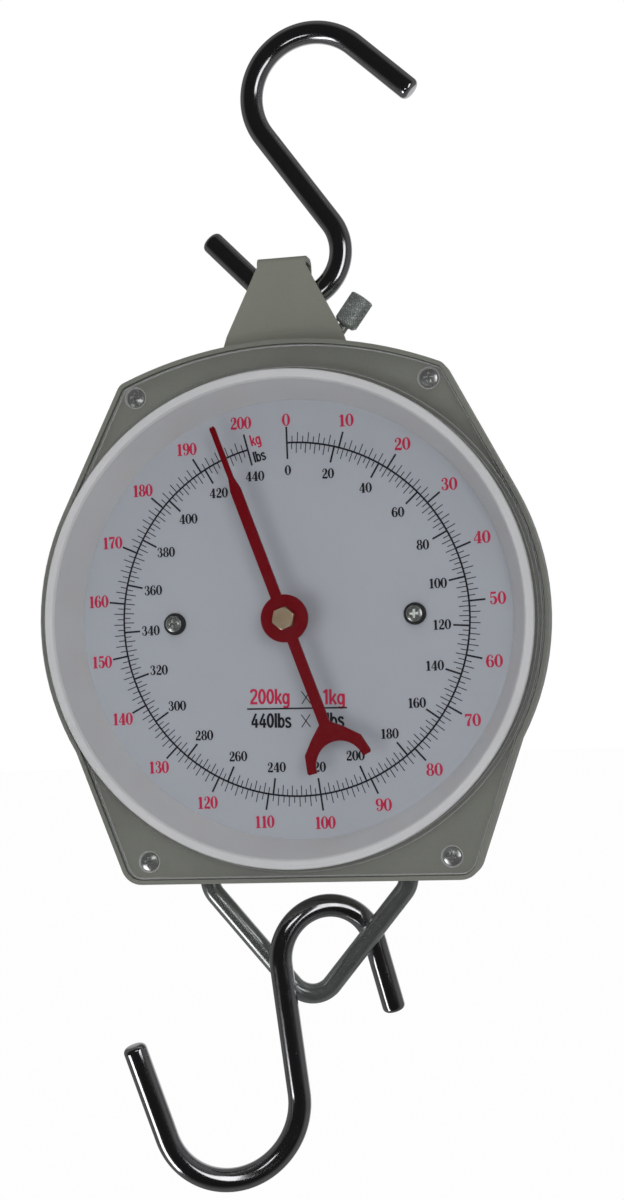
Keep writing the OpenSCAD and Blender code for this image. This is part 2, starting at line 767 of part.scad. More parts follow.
module bridge_pillars() {
    color(brass_colour) at_dial() for (p = pillar_spots) difference() {
        bar(p[0], p[1], 5.6, bridge_y + bridge_t, chassis_y);
        bar(p[0], p[1], 2.6, bridge_y, bridge_y + 8);
    }
}

module bridge_screws() {
    color(steel_colour) at_dial() for (p = pillar_spots)
        pan_screw(p[0], p[1], bridge_y, 2.5, 5, 1.5, 6);
}

// Flanged bearing bush along Y, its flange between y0 and y0 + flange
module bush(y0, y1, flange_at) {
    difference() {
        union() {
            bar(0, 0, bush_d, y0, y1);
            bar(0, 0, bush_d + 3, flange_at, flange_at + 1);
        }
        bar(0, 0, spindle_d + 2 * running_gap, y0 - 1, y1 + 1);
    }
}

module front_bush() {
    color(brass_colour) at_dial() bush(bridge_y - 1, bridge_y + bridge_t, bridge_y - 1);
}

module rear_bush() {
    color(brass_colour) at_dial() bush(chassis_y - 1, chassis_y + chassis_t + 1, chassis_y - 1);
}

module roller_stud() {
    color(steel_colour) at_dial() bar(roller_x, 0, roller_stud_d, bridge_y, chassis_y + chassis_t);
}

module guide_roller() {
    color(brass_colour) at_dial() difference() {
        bar(roller_x, 0, roller_d, load_y - rack_t / 2 - 0.8, load_y + rack_t / 2 + 0.8);
        bar(roller_x, 0, roller_stud_d + 2 * running_gap, load_y - 10, load_y + 10);
    }
}

module adjuster_block() {
    color(steel_colour) at_dial() along_screw(block_from) difference() {
        translate([-block_w / 2, -strap_in, 0]) cube([block_w, 2 * strap_in, block_len]);
        translate([0, 0, -1]) cylinder(d = thumb_shank_d + 2 * running_gap, h = block_len + 2);
    }
}

module lever_pin() {
    color(steel_colour) at_dial()
        bar(lever_pivot_x, lever_pivot_z, roller_stud_d, load_y - strap_out, load_y + strap_out);
}

module thumb_screw() {
    chamfer = 1.4;
    color(steel_colour) at_dial() along_screw(0) {
        rotate_extrude() polygon([
            [0, -thumb_head_len], [thumb_head_d / 2 - 0.8, -thumb_head_len],
            [thumb_head_d / 2, 0.8 - thumb_head_len], [thumb_head_d / 2, -chamfer],
            [thumb_head_d / 2 - chamfer, 0], [thumb_shank_d / 2, 0],
            [thumb_shank_d / 2, block_from - 2], [screw_collar_d / 2, block_from - 2],
            [screw_collar_d / 2, block_from - seat_gap],
            [thumb_shank_d / 2, block_from - seat_gap], [thumb_shank_d / 2, shank_len - 0.6],
            [thumb_shank_d / 2 - 0.6, shank_len], [0, shank_len]]);
    }
}

module screw_clip() {
    color(steel_colour) at_dial() along_screw(block_from + block_len + seat_gap) difference() {
        cylinder(d = 9, h = 1.2);
        translate([0, 0, -1]) cylinder(d = thumb_shank_d, h = 4);
        translate([0, -1.5, -1]) cube([6, 3, 4]);
    }
}

module adjuster_nut() {
    color(brass_colour) at_dial() along_screw(nut_from) difference() {
        union() {
            translate([-4.5, seat_gap - strap_in, 0]) cube([9, 2 * (strap_in - seat_gap), nut_len]);
            cylinder(d = 8, h = nose_end - nut_from);
        }
        translate([0, 0, -1]) cylinder(d = thumb_shank_d + 2 * running_gap, h = nose_end - nut_from);
    }
}

module zero_lever() {
    pad = on_screw(lever_pad_at);
    pivot = [lever_pivot_x, lever_pivot_z];
    hook = [rack_mid_x, zero_spring_top_z + zero_spring_r];
    color(brass_colour) at_dial() difference() {
        union() {
            deep(load_y - lever_t / 2, load_y + lever_t / 2) link(pivot, pad, 5);
            deep(load_y - lever_t / 2, load_y + lever_t / 2) link(pivot, hook, 5);
            bar(pivot[0], pivot[1], 8, load_y - strap_in + seat_gap, load_y + strap_in - seat_gap);
            bar(pad[0], pad[1], 2 * lever_pad_r, load_y - 2.5, load_y + 2.5);
        }
        bar(pivot[0], pivot[1], roller_stud_d + 2 * running_gap, 0, 20);
        bar(hook[0], hook[1], 2.1, 0, 20);
    }
}

// Straight link with round ends between two places in X and Z
module link(a, b, w) {
    n = norm(b - a);
    translate(a) rotate(atan2(b[1] - a[1], b[0] - a[0])) {
        polygon(concat([for (k = [0 : 12]) [n + w / 2 * sin(k * 15), -w / 2 * cos(k * 15)]],
            [for (k = [0 : 12]) [-w / 2 * sin(k * 15), w / 2 * cos(k * 15)]]));
    }
}

// Close-wound coil column from z0 to z1 about the Z axis
module coil(d, wire, z0, z1) {
    turns = ceil((z1 - z0) / (wire * 0.985));
    rotate_extrude() for (k = [0 : turns])
        translate([d / 2, z0 + k * (z1 - z0) / turns]) circle(d = wire, $fn = 32);
}

// Arch that closes the end of a spring round its pin, with two legs down to the coils
module spring_arch(d, wire, leg) {
    rod_arc(wire, d / 2, 180);
    for (x = [-d / 2, d / 2])
        translate([x, 0, -leg]) rod_straight(wire, leg);
}

module main_spring(x) {
    translate([x, load_y, 0]) {
        coil(spring_coil_d, spring_wire_d, spring_bottom_z + spring_leg, spring_top_z - spring_leg);
        translate([0, 0, spring_top_z])
            spring_arch(spring_coil_d, spring_wire_d, spring_leg);
        translate([0, 0, spring_bottom_z]) mirror([0, 0, 1])
            spring_arch(spring_coil_d, spring_wire_d, spring_leg);
    }
}

module main_spring_left() {
    color(steel_colour) at_dial() main_spring(-spring_x);
}

module main_spring_right() {
    color(steel_colour) at_dial() main_spring(spring_x);
}

// Fine close-wound coil as one turned profile with a groove between the turns
module fine_coil(d, wire, z0, z1) {
    turns = floor((z1 - z0) / wire);
    pitch = (z1 - z0) / turns;
    inner = d / 2 - wire / 2;
    outer = d / 2 + wire / 2;
    groove = outer - wire * 0.3;
    rotate_extrude() polygon(concat([[inner, z0]],
        [for (k = [0 : turns - 1]) each [[groove, z0 + k * pitch], [outer, z0 + (k + 0.5) * pitch]]],
        [[groove, z1], [inner, z1]]));
}

module zero_spring() {
    low = rack_top_z - 2.4 + zero_spring_r;
    d = 2 * zero_spring_r;
    color(steel_colour) at_dial() translate([rack_mid_x, load_y, 0]) rotate([0, 0, 90]) {
        fine_coil(d, zero_wire_d, low + 8, zero_spring_top_z - 6);
        translate([0, 0, zero_spring_top_z]) spring_arch(d, zero_wire_d, 6.2);
        translate([0, 0, low]) mirror([0, 0, 1]) spring_arch(d, zero_wire_d, 8.2);
    }
}

module stop_pads() {
    color(rubber_colour) at_dial() for (s = [-1, 1])
        translate([s * stop_x, load_y, -case_bottom_z + tub_inset]) cylinder(d = stop_d, h = stop_h);
}

module load_yoke() {
    end_x = bail_leg_x + 9;
    slot_half = spring_x + (spring_coil_d + spring_wire_d) / 2 + seat_gap;
    color(steel_colour) at_dial() difference() {
        translate([-end_x, load_y - yoke_t / 2, -yoke_z - yoke_h / 2])
            cube([2 * end_x, yoke_t, yoke_h]);
        translate([-slot_half, load_y - slot_w / 2, -yoke_z - yoke_h])
            cube([2 * slot_half, slot_w, 2 * yoke_h]);
        for (s = [-1, 1]) {
            bar(s * spring_x, -yoke_z, spring_pin_d + 0.1, 0, 2 * load_y);
            translate([s * bail_leg_x, load_y, -yoke_z - yoke_h])
                cylinder(d = bail_stud_d + 0.2, h = 2 * yoke_h);
        }
        bar(rack_mid_x, -yoke_z, rack_pin_d + 0.1, 0, 2 * load_y);
    }
}

module lower_spring_pins() {
    color(steel_colour) at_dial() for (x = [-spring_x, spring_x])
        bar(x, -yoke_z, spring_pin_d, load_y - yoke_t / 2, load_y + yoke_t / 2);
}

// Straight stretch of a bent rod. It is a hair thinner than the bends and reaches a little into them
module rod_straight(d, len) {
    translate([0, 0, -rod_lap]) cylinder(d = d - rod_step, h = len + 2 * rod_lap);
}

// Bend in the X-Z plane from the right of its centre, upwards for a positive turn
module rod_arc(d, r, turn) {
    rotate([90, 0, 0]) rotate_extrude(angle = turn) translate([r, 0]) circle(d = d);
}

module bail() {
    knee_t = bail_knee_r * tan((90 - bail_slope) / 2);
    vee_z = bail_knee_z + bail_leg_x * tan(bail_slope) - bail_vee_r / cos(bail_slope);
    slope_from = bail_knee_z + knee_t * sin(bail_slope);
    slope_x = bail_leg_x - knee_t * cos(bail_slope);
    slope_len = (bail_leg_x - bail_vee_r * sin(bail_slope)) / cos(bail_slope) - knee_t;
    color(steel_colour) at_dial() translate([0, load_y, 0]) {
        both_sides() {
            translate([bail_leg_x, 0, -bail_knee_z + knee_t])
                rod_straight(bail_rod_d, bail_knee_z - knee_t - yoke_z - yoke_h / 2 - rod_lap);
            translate([bail_leg_x, 0, -yoke_z - yoke_h / 2 - 1])
                cylinder(d = bail_stud_d, h = yoke_h + 1 + bail_nut_h + 3);
            translate([bail_leg_x - bail_knee_r, 0, -bail_knee_z + knee_t])
                rod_arc(bail_rod_d, bail_knee_r, bail_slope - 90);
            translate([slope_x, 0, -slope_from]) rotate([0, 270 - bail_slope, 0])
                rod_straight(bail_rod_d, slope_len);
        }
        translate([0, 0, -vee_z]) rotate([0, 90 + bail_slope, 0])
            rod_arc(bail_rod_d, bail_vee_r, 2 * bail_slope);
    }
}

module bail_nuts() {
    color(steel_colour) at_dial() for (s = [-1, 1])
        translate([s * bail_leg_x, load_y, -yoke_z + yoke_h / 2]) difference() {
            cylinder(d = bail_nut_af / cos(30), h = bail_nut_h, $fn = 6);
            translate([0, 0, -1]) cylinder(d = bail_stud_d + 0.1, h = bail_nut_h + 2);
        }
}

// Straight-sided rack tooth, thinned by the play, at the root line
module rack_tooth() {
    half = rack_pitch / 4 - gear_play / 2;
    up = (rack_line - rack_tip) * tan(pressure);
    down = (rack_root - rack_line) * tan(pressure);
    polygon([[rack_root + 0.2, half + down], [rack_root, half + down], [rack_tip, half - up],
        [rack_tip, up - half], [rack_root, -half - down], [rack_root + 0.2, -half - down]]);
}

module rack() {
    color(brass_colour) at_dial() difference() {
        deep(load_y - rack_t / 2, load_y + rack_t / 2) {
            translate([rack_root, -yoke_z]) square([rack_back_w, rack_top_z + yoke_z]);
            for (k = [-1 : rack_teeth_up])
                translate([0, k * rack_pitch]) rack_tooth();
            translate([rack_mid_x, -yoke_z]) circle(d = rack_eye_d);
        }
        bar(rack_mid_x, -yoke_z, rack_pin_d + 0.1, 0, 2 * load_y);
        bar(rack_mid_x, rack_top_z - 2.4, 2.1, 0, 2 * load_y);
        for (s = [-1, 1])
            translate([0, load_y + s * (lever_t + rack_t) / 2 - rack_t / 2, rack_top_z - rack_tang])
                cube([rack_back + 1, rack_t, rack_tang + 1]);
    }
}

module rack_pin() {
    color(steel_colour) at_dial()
        bar(rack_mid_x, -yoke_z, rack_pin_d, load_y - yoke_t / 2, load_y + yoke_t / 2);
}

module spindle() {
    color(brass_colour) at_dial() bar(0, 0, spindle_d, spindle_front_y, chassis_y + chassis_t + 1.6);
}

// Point of the involute that leaves the base circle, where its roll angle is a
function involute(a, turn) =
    let (r = base_r / cos(a), t = turn + (tan(a) * 180 / PI - a))
    [r * cos(t), r * sin(t)];

module pinion() {
    half = 90 / pinion_n
        + (2 * gear_shift * tan(pressure) / pinion_n - gear_play / (2 * pitch_r)) * 180 / PI;
    start = -half - (tan(pressure) * 180 / PI - pressure);
    tip = acos(base_r / pinion_tip_r);
    steps = 5;
    flank = [for (k = [0 : steps]) involute(tip * k / steps, start)];
    root = [pinion_root_r * cos(start), pinion_root_r * sin(start)];
    tooth = concat([[1, 0], root], flank, [for (k = [steps : -1 : 0]) [flank[k][0], -flank[k][1]]],
        [[root[0], -root[1]]]);
    color(brass_colour) at_dial() difference() {
        deep(load_y - pinion_w / 2, load_y + pinion_w / 2) {
            circle(r = pinion_root_r);
            for (k = [0 : pinion_n - 1])
                rotate((k + 0.5) * 360 / pinion_n) polygon(tooth);
        }
        bar(0, 0, spindle_d, 0, 2 * load_y);
    }
}

module pointer() {
    c_z = -fork_end - 1;
    side = [[0, pointer_len - 1], [needle_w / 2 - 0.5, pointer_len - 0.6], [needle_w / 2, pointer_len - 1.6],
        [needle_w / 2, needle_start], [arm_w / 2, needle_start - 6], [arm_w / 2, -fork_start],
        [8.4, -fork_start - 5], [14, -fork_start - 10.8], [fork_half_w, -fork_end + 1],
        [fork_half_w - 0.6, -fork_end], [11.7, -fork_end - 0.4], [0, -fork_end - 0.4]];
    color(red_colour) at_dial() rotate([0, pointer_rest, 0]) difference() {
        union() {
            deep(pointer_front_y, pointer_back_y) difference() {
                union() {
                    both_sides() polygon(side);
                    circle(r = hub_r);
                }
                translate([0, c_z]) circle(r = fork_mouth_r);
            }
            bar(0, 0, 8.5, pointer_back_y - 0.5, pointer_back_y + 4);
        }
        bar(0, 0, spindle_d, -40, 0);
    }
}

module pointer_nut() {
    color(brass_colour) at_dial() rotate([0, pointer_rest, 0]) difference() {
        intersection() {
            hex_bar(0, 0, pointer_nut_af, nut_front_y, pointer_front_y);
            turned() polygon([[0, nut_front_y], [pointer_nut_af / 2, nut_front_y],
                [pointer_nut_af / 2 + 1, nut_front_y + 0.7], [pointer_nut_af / 2 + 1, pointer_front_y],
                [0, pointer_front_y]]);
        }
        bar(0, 0, spindle_d, -40, 0);
    }
}

// Hook in its own plane, drawn from the eye bend's centre: the eye bend, the shank, the bar bend
module hook_rod(eye_r, bar_r, shank, eye_end, bar_end) {
    eye_turn = 180 - eye_open;
    bar_turn = 180 - bar_open;
    rod_arc(hook_rod_d, eye_r, -eye_turn);
    translate([eye_r, 0, 0]) rod_straight(hook_rod_d, shank);
    rotate([0, eye_turn, 0]) translate([eye_r, 0, 0]) rotate([180, 0, 0]) hook_end(eye_end);
    translate([eye_r + bar_r, 0, shank]) mirror([1, 0, 0]) {
        rod_arc(hook_rod_d, bar_r, bar_turn);
        rotate([0, -bar_turn, 0]) translate([bar_r, 0, 0]) hook_end(bar_end);
    }
}

// Straight end of a hook rod with a rounded tip
module hook_end(len) {
    r = (hook_rod_d - rod_step) / 2;
    rotate_extrude() {
        translate([0, -rod_lap]) square([r, len + rod_lap - hook_end_r]);
        translate([0, -rod_lap]) square([r - hook_end_r, len + rod_lap]);
        translate([r - hook_end_r, len - hook_end_r]) intersection() {
            circle(r = hook_end_r);
            square(hook_end_r);
        }
    }
}

module top_hook() {
    color(chrome_colour) at_dial() translate([top_eye_x, load_y, top_eye_z])
        rotate([0, -top_shank_lean, 0])
            hook_rod(top_eye_bend_r, top_bar_bend_r, top_shank_len, top_tail_len, top_tip_len);
}

module load_hook() {
    color(chrome_colour) at_dial() translate([load_eye_x, load_y, -load_eye_z])
        rotate([0, 0, load_hook_yaw]) rotate([0, 180 - load_shank_lean, 0])
            hook_rod(load_eye_bend_r, load_bar_bend_r, load_shank_len, load_tail_len, load_tip_len);
}

top_hook();
case();
clear_cover();
cover_screws();
dial_surround();
dial_plate();
dial_screws();
dial_collars();
dial_posts();
hanger_bracket();
crossbar_plates();
crossbar_rivets();
upper_spring_pins();
chassis_plate();
chassis_screws();
movement_bridge();
bridge_pillars();
bridge_screws();
front_bush();
rear_bush();
roller_stud();
guide_roller();
adjuster_block();
lever_pin();
thumb_screw();
screw_clip();
adjuster_nut();
zero_lever();
zero_spring();
main_spring_left();
main_spring_right();
stop_pads();
load_yoke();
lower_spring_pins();
bail();
bail_nuts();
rack();
rack_pin();
spindle();
pinion();
pointer();
pointer_nut();
load_hook();
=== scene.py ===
"""Dress of a hanging dial scale: print, cover, bent rods, springs, knurled screw, finishes and studio.

Sizes are written in millimetres and places in the dial's own axes, X to the right of the dial, Y away
from the reader and Z up, with the pointer axis on the dial face as their origin. on_dial() turns such
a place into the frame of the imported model, which is in metres.
"""

from __future__ import annotations

import logging
import math
from dataclasses import dataclass
from enum import Enum
from functools import cache
from typing import Any, Iterable, Mapping, Sequence, Union

import bpy
from mathutils import Matrix, Vector

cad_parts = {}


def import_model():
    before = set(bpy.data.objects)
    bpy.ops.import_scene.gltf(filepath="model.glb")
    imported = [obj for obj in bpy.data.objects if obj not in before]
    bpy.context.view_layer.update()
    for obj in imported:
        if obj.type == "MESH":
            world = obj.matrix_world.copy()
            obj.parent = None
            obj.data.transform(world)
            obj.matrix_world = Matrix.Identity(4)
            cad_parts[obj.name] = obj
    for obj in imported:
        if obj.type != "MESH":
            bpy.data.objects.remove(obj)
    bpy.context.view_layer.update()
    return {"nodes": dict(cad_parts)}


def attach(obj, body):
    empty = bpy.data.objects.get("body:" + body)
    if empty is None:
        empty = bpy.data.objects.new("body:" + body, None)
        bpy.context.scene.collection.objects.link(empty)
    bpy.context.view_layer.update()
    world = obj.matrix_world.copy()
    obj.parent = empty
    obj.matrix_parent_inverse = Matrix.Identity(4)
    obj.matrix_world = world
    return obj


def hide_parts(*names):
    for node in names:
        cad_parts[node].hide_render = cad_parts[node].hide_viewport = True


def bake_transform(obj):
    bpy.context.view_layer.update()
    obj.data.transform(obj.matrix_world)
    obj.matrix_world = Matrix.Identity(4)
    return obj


MM = 0.001
DIAL_TO_SEAT = Vector((17.61046, 10.0, 277.2022))
LOAD_Y = 10.0
TOUCH = 1e-6

Colour = tuple[float, float, float]
Point = tuple[float, float]

log = logging.getLogger("dial_scale")


def on_dial(x: float, y: float, z: float) -> Vector:
    """Gives the place in the model's frame, in metres, of a place on the dial in millimetres."""
    return (Vector((x, y, z)) - DIAL_TO_SEAT) * MM


def srgb(red: int, green: int, blue: int) -> Colour:
    """Turns a colour of 0 to 255 as seen on a screen into the linear one that a shader takes."""

    def linear(level: int) -> float:
        """Straightens one channel."""
        share = level / 255
        return share / 12.92 if share <= 0.04045 else ((share + 0.055) / 1.055) ** 2.4

    return linear(red), linear(green), linear(blue)


def shade(colour: Colour, factor: float, lift: float = 0.0) -> Colour:
    """Gives a darker or paler shade of a colour."""
    return tuple(min(1.0, factor * level + lift) for level in colour)


def turned(x: float, z: float, angle: float) -> Point:
    """Turns a place about the origin by an angle in degrees, anticlockwise."""
    cos, sin = math.cos(math.radians(angle)), math.sin(math.radians(angle))
    return x * cos - z * sin, x * sin + z * cos


class Signal:
    """A socket of a shader tree, on which arithmetic adds Math nodes."""

    def __init__(self, tree: bpy.types.NodeTree, socket: bpy.types.NodeSocket) -> None:
        """Wraps a socket that belongs to a tree."""
        self.tree = tree
        self.socket = socket

    def math(self, operation: str, *terms: Term) -> Signal:
        """Adds one Math node.

        Args:
            operation: the node's operation.
            terms: its inputs in order.

        Returns:
            The node's result.
        """
        node = self.tree.nodes.new("ShaderNodeMath")
        node.operation = operation
        for socket, term in zip(node.inputs, terms):
            if isinstance(term, Signal):
                self.tree.links.new(term.socket, socket)
            else:
                socket.default_value = term
        return Signal(self.tree, node.outputs[0])

    def __add__(self, other: Term) -> Signal:
        """Adds."""
        return self.math("ADD", self, other)

    def __radd__(self, other: Term) -> Signal:
        """Adds to a number."""
        return self.math("ADD", other, self)

    def __sub__(self, other: Term) -> Signal:
        """Subtracts."""
        return self.math("SUBTRACT", self, other)

    def __rsub__(self, other: Term) -> Signal:
        """Subtracts from a number."""
        return self.math("SUBTRACT", other, self)

    def __mul__(self, other: Term) -> Signal:
        """Multiplies."""
        return self.math("MULTIPLY", self, other)

    def __rmul__(self, other: Term) -> Signal:
        """Multiplies a number."""
        return self.math("MULTIPLY", other, self)

    def __truediv__(self, other: Term) -> Signal:
        """Divides."""
        return self.math("DIVIDE", self, other)

    def __rtruediv__(self, other: Term) -> Signal:
        """Divides a number."""
        return self.math("DIVIDE", other, self)

    def __pow__(self, power: Term) -> Signal:
        """Raises to a power."""
        return self.math("POWER", self, power)

    def __rpow__(self, other: Term) -> Signal:
        """Raises a number to this power."""
        return self.math("POWER", other, self)

    def between(self, low: float, high: float) -> Signal:
        """Rises from 0 at low to 1 at high and stays within them."""
        ramp = (self - low) / (high - low)
        return ramp.math("MINIMUM", ramp.math("MAXIMUM", ramp, 0.0), 1.0)


Term = Union[Signal, float]
Setting = Union[Term, Sequence[float]]
Settings = Union[Mapping[str, Any], None]
Inputs = Union[Mapping[str, Setting], None]


class Tree:
    """The node tree of a material or of the world."""

    def __init__(self, tree: bpy.types.NodeTree) -> None:
        """Empties a tree."""
        self.tree = tree
        tree.nodes.clear()

    def node(self, kind: str, settings: Settings = None, inputs: Inputs = None) -> bpy.types.Node:
        """Adds a node of any kind.

        Args:
            kind: the node's type.
            settings: its own settings, set first.
            inputs: numbers, colours or signals for its sockets, by identifier or by name.

        Returns:
            The node.
        """
        node = self.tree.nodes.new(kind)
        for name, value in (settings or {}).items():
            setattr(node, name, value)
        for name, value in (inputs or {}).items():
            socket = self._find(node.inputs, name)
            if isinstance(value, Signal):
                self.tree.links.new(value.socket, socket)
            else:
                socket.default_value = value
        return node

    def signal(self, kind: str, output: str, settings: Settings = None, inputs: Inputs = None) -> Signal:
        """Adds a node as node() does and wraps one of its outputs."""
        node = self.node(kind, settings, inputs)
        return Signal(self.tree, self._find(node.outputs, output))

    @staticmethod
    def _find(sockets: Iterable[bpy.types.NodeSocket], name: str) -> bpy.types.NodeSocket:
        """Finds a socket by its identifier, or else by its name."""
        options = list(sockets)
        for socket in options:
            if socket.identifier == name:
                return socket
        return next(socket for socket in options if socket.name == name)

    def rays(self, *kinds: str) -> Signal:
        """Gives 1 for rays of any of some kinds, such as Camera and Glossy, and else 0."""
        path = self.node("ShaderNodeLightPath")
        total, *others = [Signal(self.tree, path.outputs[f"Is {kind} Ray"]) for kind in kinds]
        for other in others:
            total = total + other
        return total.math("MINIMUM", total, 1.0)


class SurfaceTree(Tree):
    """The tree of a finish: a Principled shader and what varies over the surface."""

    EDGE_RAMP = (0.01, 0.16)
    FLAT_RAMP = (0.9990, 0.9998)

    def __init__(self, name: str, **constants: Setting) -> None:
        """Makes the material.

        Args:
            name: the material's name.
            constants: shader sockets that are the same all over, with underscores for blanks.
        """
        self.material = bpy.data.materials.new(name)
        self.material.use_nodes = True
        super().__init__(self.material.node_tree)
        fixed = {key.replace("_", " "): value for key, value in constants.items()}
        self.shader = self.node("ShaderNodeBsdfPrincipled", inputs=fixed)
        self.output = self.node("ShaderNodeOutputMaterial")
        self.tree.links.new(self.shader.outputs[0], self.output.inputs["Surface"])
        self.place = self.signal("ShaderNodeTexCoord", "Object")

    def feed(self, socket: str, value: Signal) -> None:
        """Links a varying value to a socket of the shader."""
        self.tree.links.new(value.socket, self.shader.inputs[socket])

    def noise(self, size: float, detail: float = 2.0) -> Signal:
        """Adds noise fixed to the piece.

        Args:
            size: width of its blots in millimetres.
            detail: number of finer layers.

        Returns:
            The noise, about 0.5 in the mean.
        """
        inputs = {"Vector": self.place, "Scale": (1 / (size * MM),) * 3}
        inputs = {"Vector": self.signal("ShaderNodeMapping", "Vector", {}, inputs)}
        inputs |= {"Scale": 1.0, "Detail": detail}
        return self.signal("ShaderNodeTexNoise", "Fac", {}, inputs)

    def blend(self, factor: Term, first: Colour | Signal, second: Colour | Signal) -> Signal:
        """Blends from a first to a second colour."""
        inputs: dict[str, Setting] = {"Factor_Float": factor}
        for key, value in (("A_Color", first), ("B_Color", second)):
            inputs[key] = value if isinstance(value, Signal) else (*value, 1.0)
        return self.signal("ShaderNodeMix", "Result_Color", {"data_type": "RGBA"}, inputs)

    def rounded(self, radius: float) -> Signal:
        """Gives the normal of the surface with its edges rounded to a radius in millimetres."""
        return self.signal("ShaderNodeBevel", "Normal", {"samples": 4}, {"Radius": radius * MM})

    def edge(self, rounded: Signal) -> Signal:
        """Gives 0 on open surface and about 1 on the edges that a rounded normal leaves."""
        flat = self.signal("ShaderNodeNewGeometry", "Normal")
        inputs = {"Vector": rounded, "Vector_001": flat}
        along = self.signal("ShaderNodeVectorMath", "Value", {"operation": "DOT_PRODUCT"}, inputs)
        return (1 - along).between(*self.EDGE_RAMP)

    def steady(self, normal: Signal) -> Signal:
        """Takes the blended corners out of a normal where a flat front faces the reader."""
        plain = self.signal("ShaderNodeNewGeometry", "True Normal")
        facing = self.signal("ShaderNodeSeparateXYZ", "Y", {}, {"Vector": plain})
        flat = (facing * facing).between(*self.FLAT_RAMP)
        inputs = {"Factor_Float": flat, "A_Vector": normal, "B_Vector": plain}
        return self.signal("ShaderNodeMix", "Result_Vector", {"data_type": "VECTOR"}, inputs)

    def bump(self, height: Signal, depth: float, normal: Signal | None = None) -> None:
        """Raises the surface by a height of 0 to 1.

        Args:
            height: the height map.
            depth: what a height of 1 is in millimetres.
            normal: the normal that it starts from.
        """
        inputs: dict[str, Setting] = {"Height": height, "Distance": depth * MM, "Strength": 1.0}
        if normal is not None:
            inputs["Normal"] = self.steady(normal)
        self.feed("Normal", self.signal("ShaderNodeBump", "Normal", {}, inputs))


@dataclass(frozen=True)
class Paint:
    """Stoved enamel with a faint orange peel, fine specks, dust in its gloss and paler edges."""

    name: str
    colour: Colour
    roughness: float
    edge_round: float = 0.5
    peel: float = 0.02

    def material(self) -> bpy.types.Material:
        """Builds the finish."""
        tree = SurfaceTree(self.name, Metallic=0.0, Coat_Weight=0.0, Specular_IOR_Level=0.3)
        cloud, speck, dust = tree.noise(60, 3.0), tree.noise(0.7, 1.0), tree.noise(9, 4.0)
        dark, pale, worn = shade(self.colour, 0.9), shade(self.colour, 1.1), shade(self.colour, 1.35, 0.02)
        body = tree.blend(cloud.between(0.3, 0.7) * 0.7 + speck.between(0.35, 0.65) * 0.3, dark, pale)
        rounded = tree.rounded(self.edge_round)
        rub = tree.edge(rounded) * dust.between(0.25, 0.6) * 0.6
        tree.feed("Base Color", tree.blend(rub, body, worn))
        tree.feed("Roughness", dust * 0.16 + (self.roughness - 0.08))
        tree.bump(tree.noise(1.6, 1.0) * 0.8 + speck * 0.2, self.peel, rounded)
        return tree.material


@dataclass(frozen=True)
class Plate:
    """Bare or plated metal with fine marks, clouded gloss and rubbed edges."""

    name: str
    colour: Colour
    tint: Colour
    roughness: float
    depth: float = 0.004
    edge_round: float = 0.25
    metallic: float = 1.0

    def material(self) -> bpy.types.Material:
        """Builds the finish."""
        tree = SurfaceTree(self.name, Metallic=self.metallic)
        cloud, marks, film = tree.noise(7, 3.0), tree.noise(0.35, 2.0), tree.noise(2.2, 3.0)
        rounded = tree.rounded(self.edge_round)
        body = tree.blend(cloud.between(0.35, 0.68), self.colour, self.tint)
        bright = shade(self.colour, 1.25)
        tree.feed("Base Color", tree.blend(tree.edge(rounded) * 0.5, body, bright))
        tree.feed("Roughness", (film - 0.5) * 0.5 * self.roughness + (marks - 0.5) * 0.06 + self.roughness)
        tree.bump(marks, self.depth, rounded)
        return tree.material


@dataclass(frozen=True)
class Chrome:
    """Polished chrome plate on bent rod: a deep mirror with faint waves, hairlines and handling marks."""

    name: str
    colour: Colour
    roughness: float = 0.13
    metallic: float = 1.0

    def material(self) -> bpy.types.Material:
        """Builds the finish."""
        tree = SurfaceTree(self.name, Metallic=self.metallic)
        smear, pit = tree.noise(11, 4.0), tree.noise(1.3, 1.0)
        dull = shade(self.colour, 0.82)
        tree.feed("Base Color", tree.blend(smear.between(0.45, 0.75), self.colour, dull))
        dulled = smear.between(0.45, 0.8) * 0.08 + pit.between(0.76, 0.8) * 0.15
        tree.feed("Roughness", dulled + self.roughness)
        tree.bump(tree.noise(9, 0.0) - pit.between(0.78, 0.82) * 0.2, 0.006)
        return tree.material


@dataclass(frozen=True)
class Moulding:
    """Moulded plastic or rubber: even colour, a faint flow shade, fine grain and softly rounded edges."""

    name: str
    colour: Colour
    roughness: float
    grain: float = 0.006
    edge_round: float = 0.3
    sheen: float = 0.5

    def material(self) -> bpy.types.Material:
        """Builds the finish."""
        tree = SurfaceTree(self.name, Metallic=0.0, Specular_IOR_Level=self.sheen)
        flow, grain = tree.noise(45, 2.0), tree.noise(0.4, 1.0)
        dim = shade(self.colour, 0.93)
        tree.feed("Base Color", tree.blend(flow.between(0.3, 0.7) * 0.8 + grain * 0.2, self.colour, dim))
        tree.feed("Roughness", (tree.noise(6, 3.0) - 0.5) * 0.12 + self.roughness)
        tree.bump(grain, self.grain, tree.rounded(self.edge_round))
        return tree.material


@dataclass(frozen=True)
class Enamel:
    """Printed or sprayed thin colour on a flat plate, with a faint texture of its own."""

    name: str
    colour: Colour
    roughness: float
    mottle: float = 0.04
    sheen: float = 0.3

    def material(self) -> bpy.types.Material:
        """Builds the finish."""
        tree = SurfaceTree(self.name, Metallic=0.0, Specular_IOR_Level=self.sheen)
        cloud, tooth = tree.noise(30, 2.0), tree.noise(0.3, 2.0)
        dark = shade(self.colour, 1 - 2 * self.mottle)
        tree.feed("Base Color", tree.blend(cloud.between(0.3, 0.7) * 0.6 + tooth * 0.4, self.colour, dark))
        tree.feed("Roughness", (tooth - 0.5) * 0.1 + self.roughness)
        tree.bump(tooth, 0.003)
        return tree.material


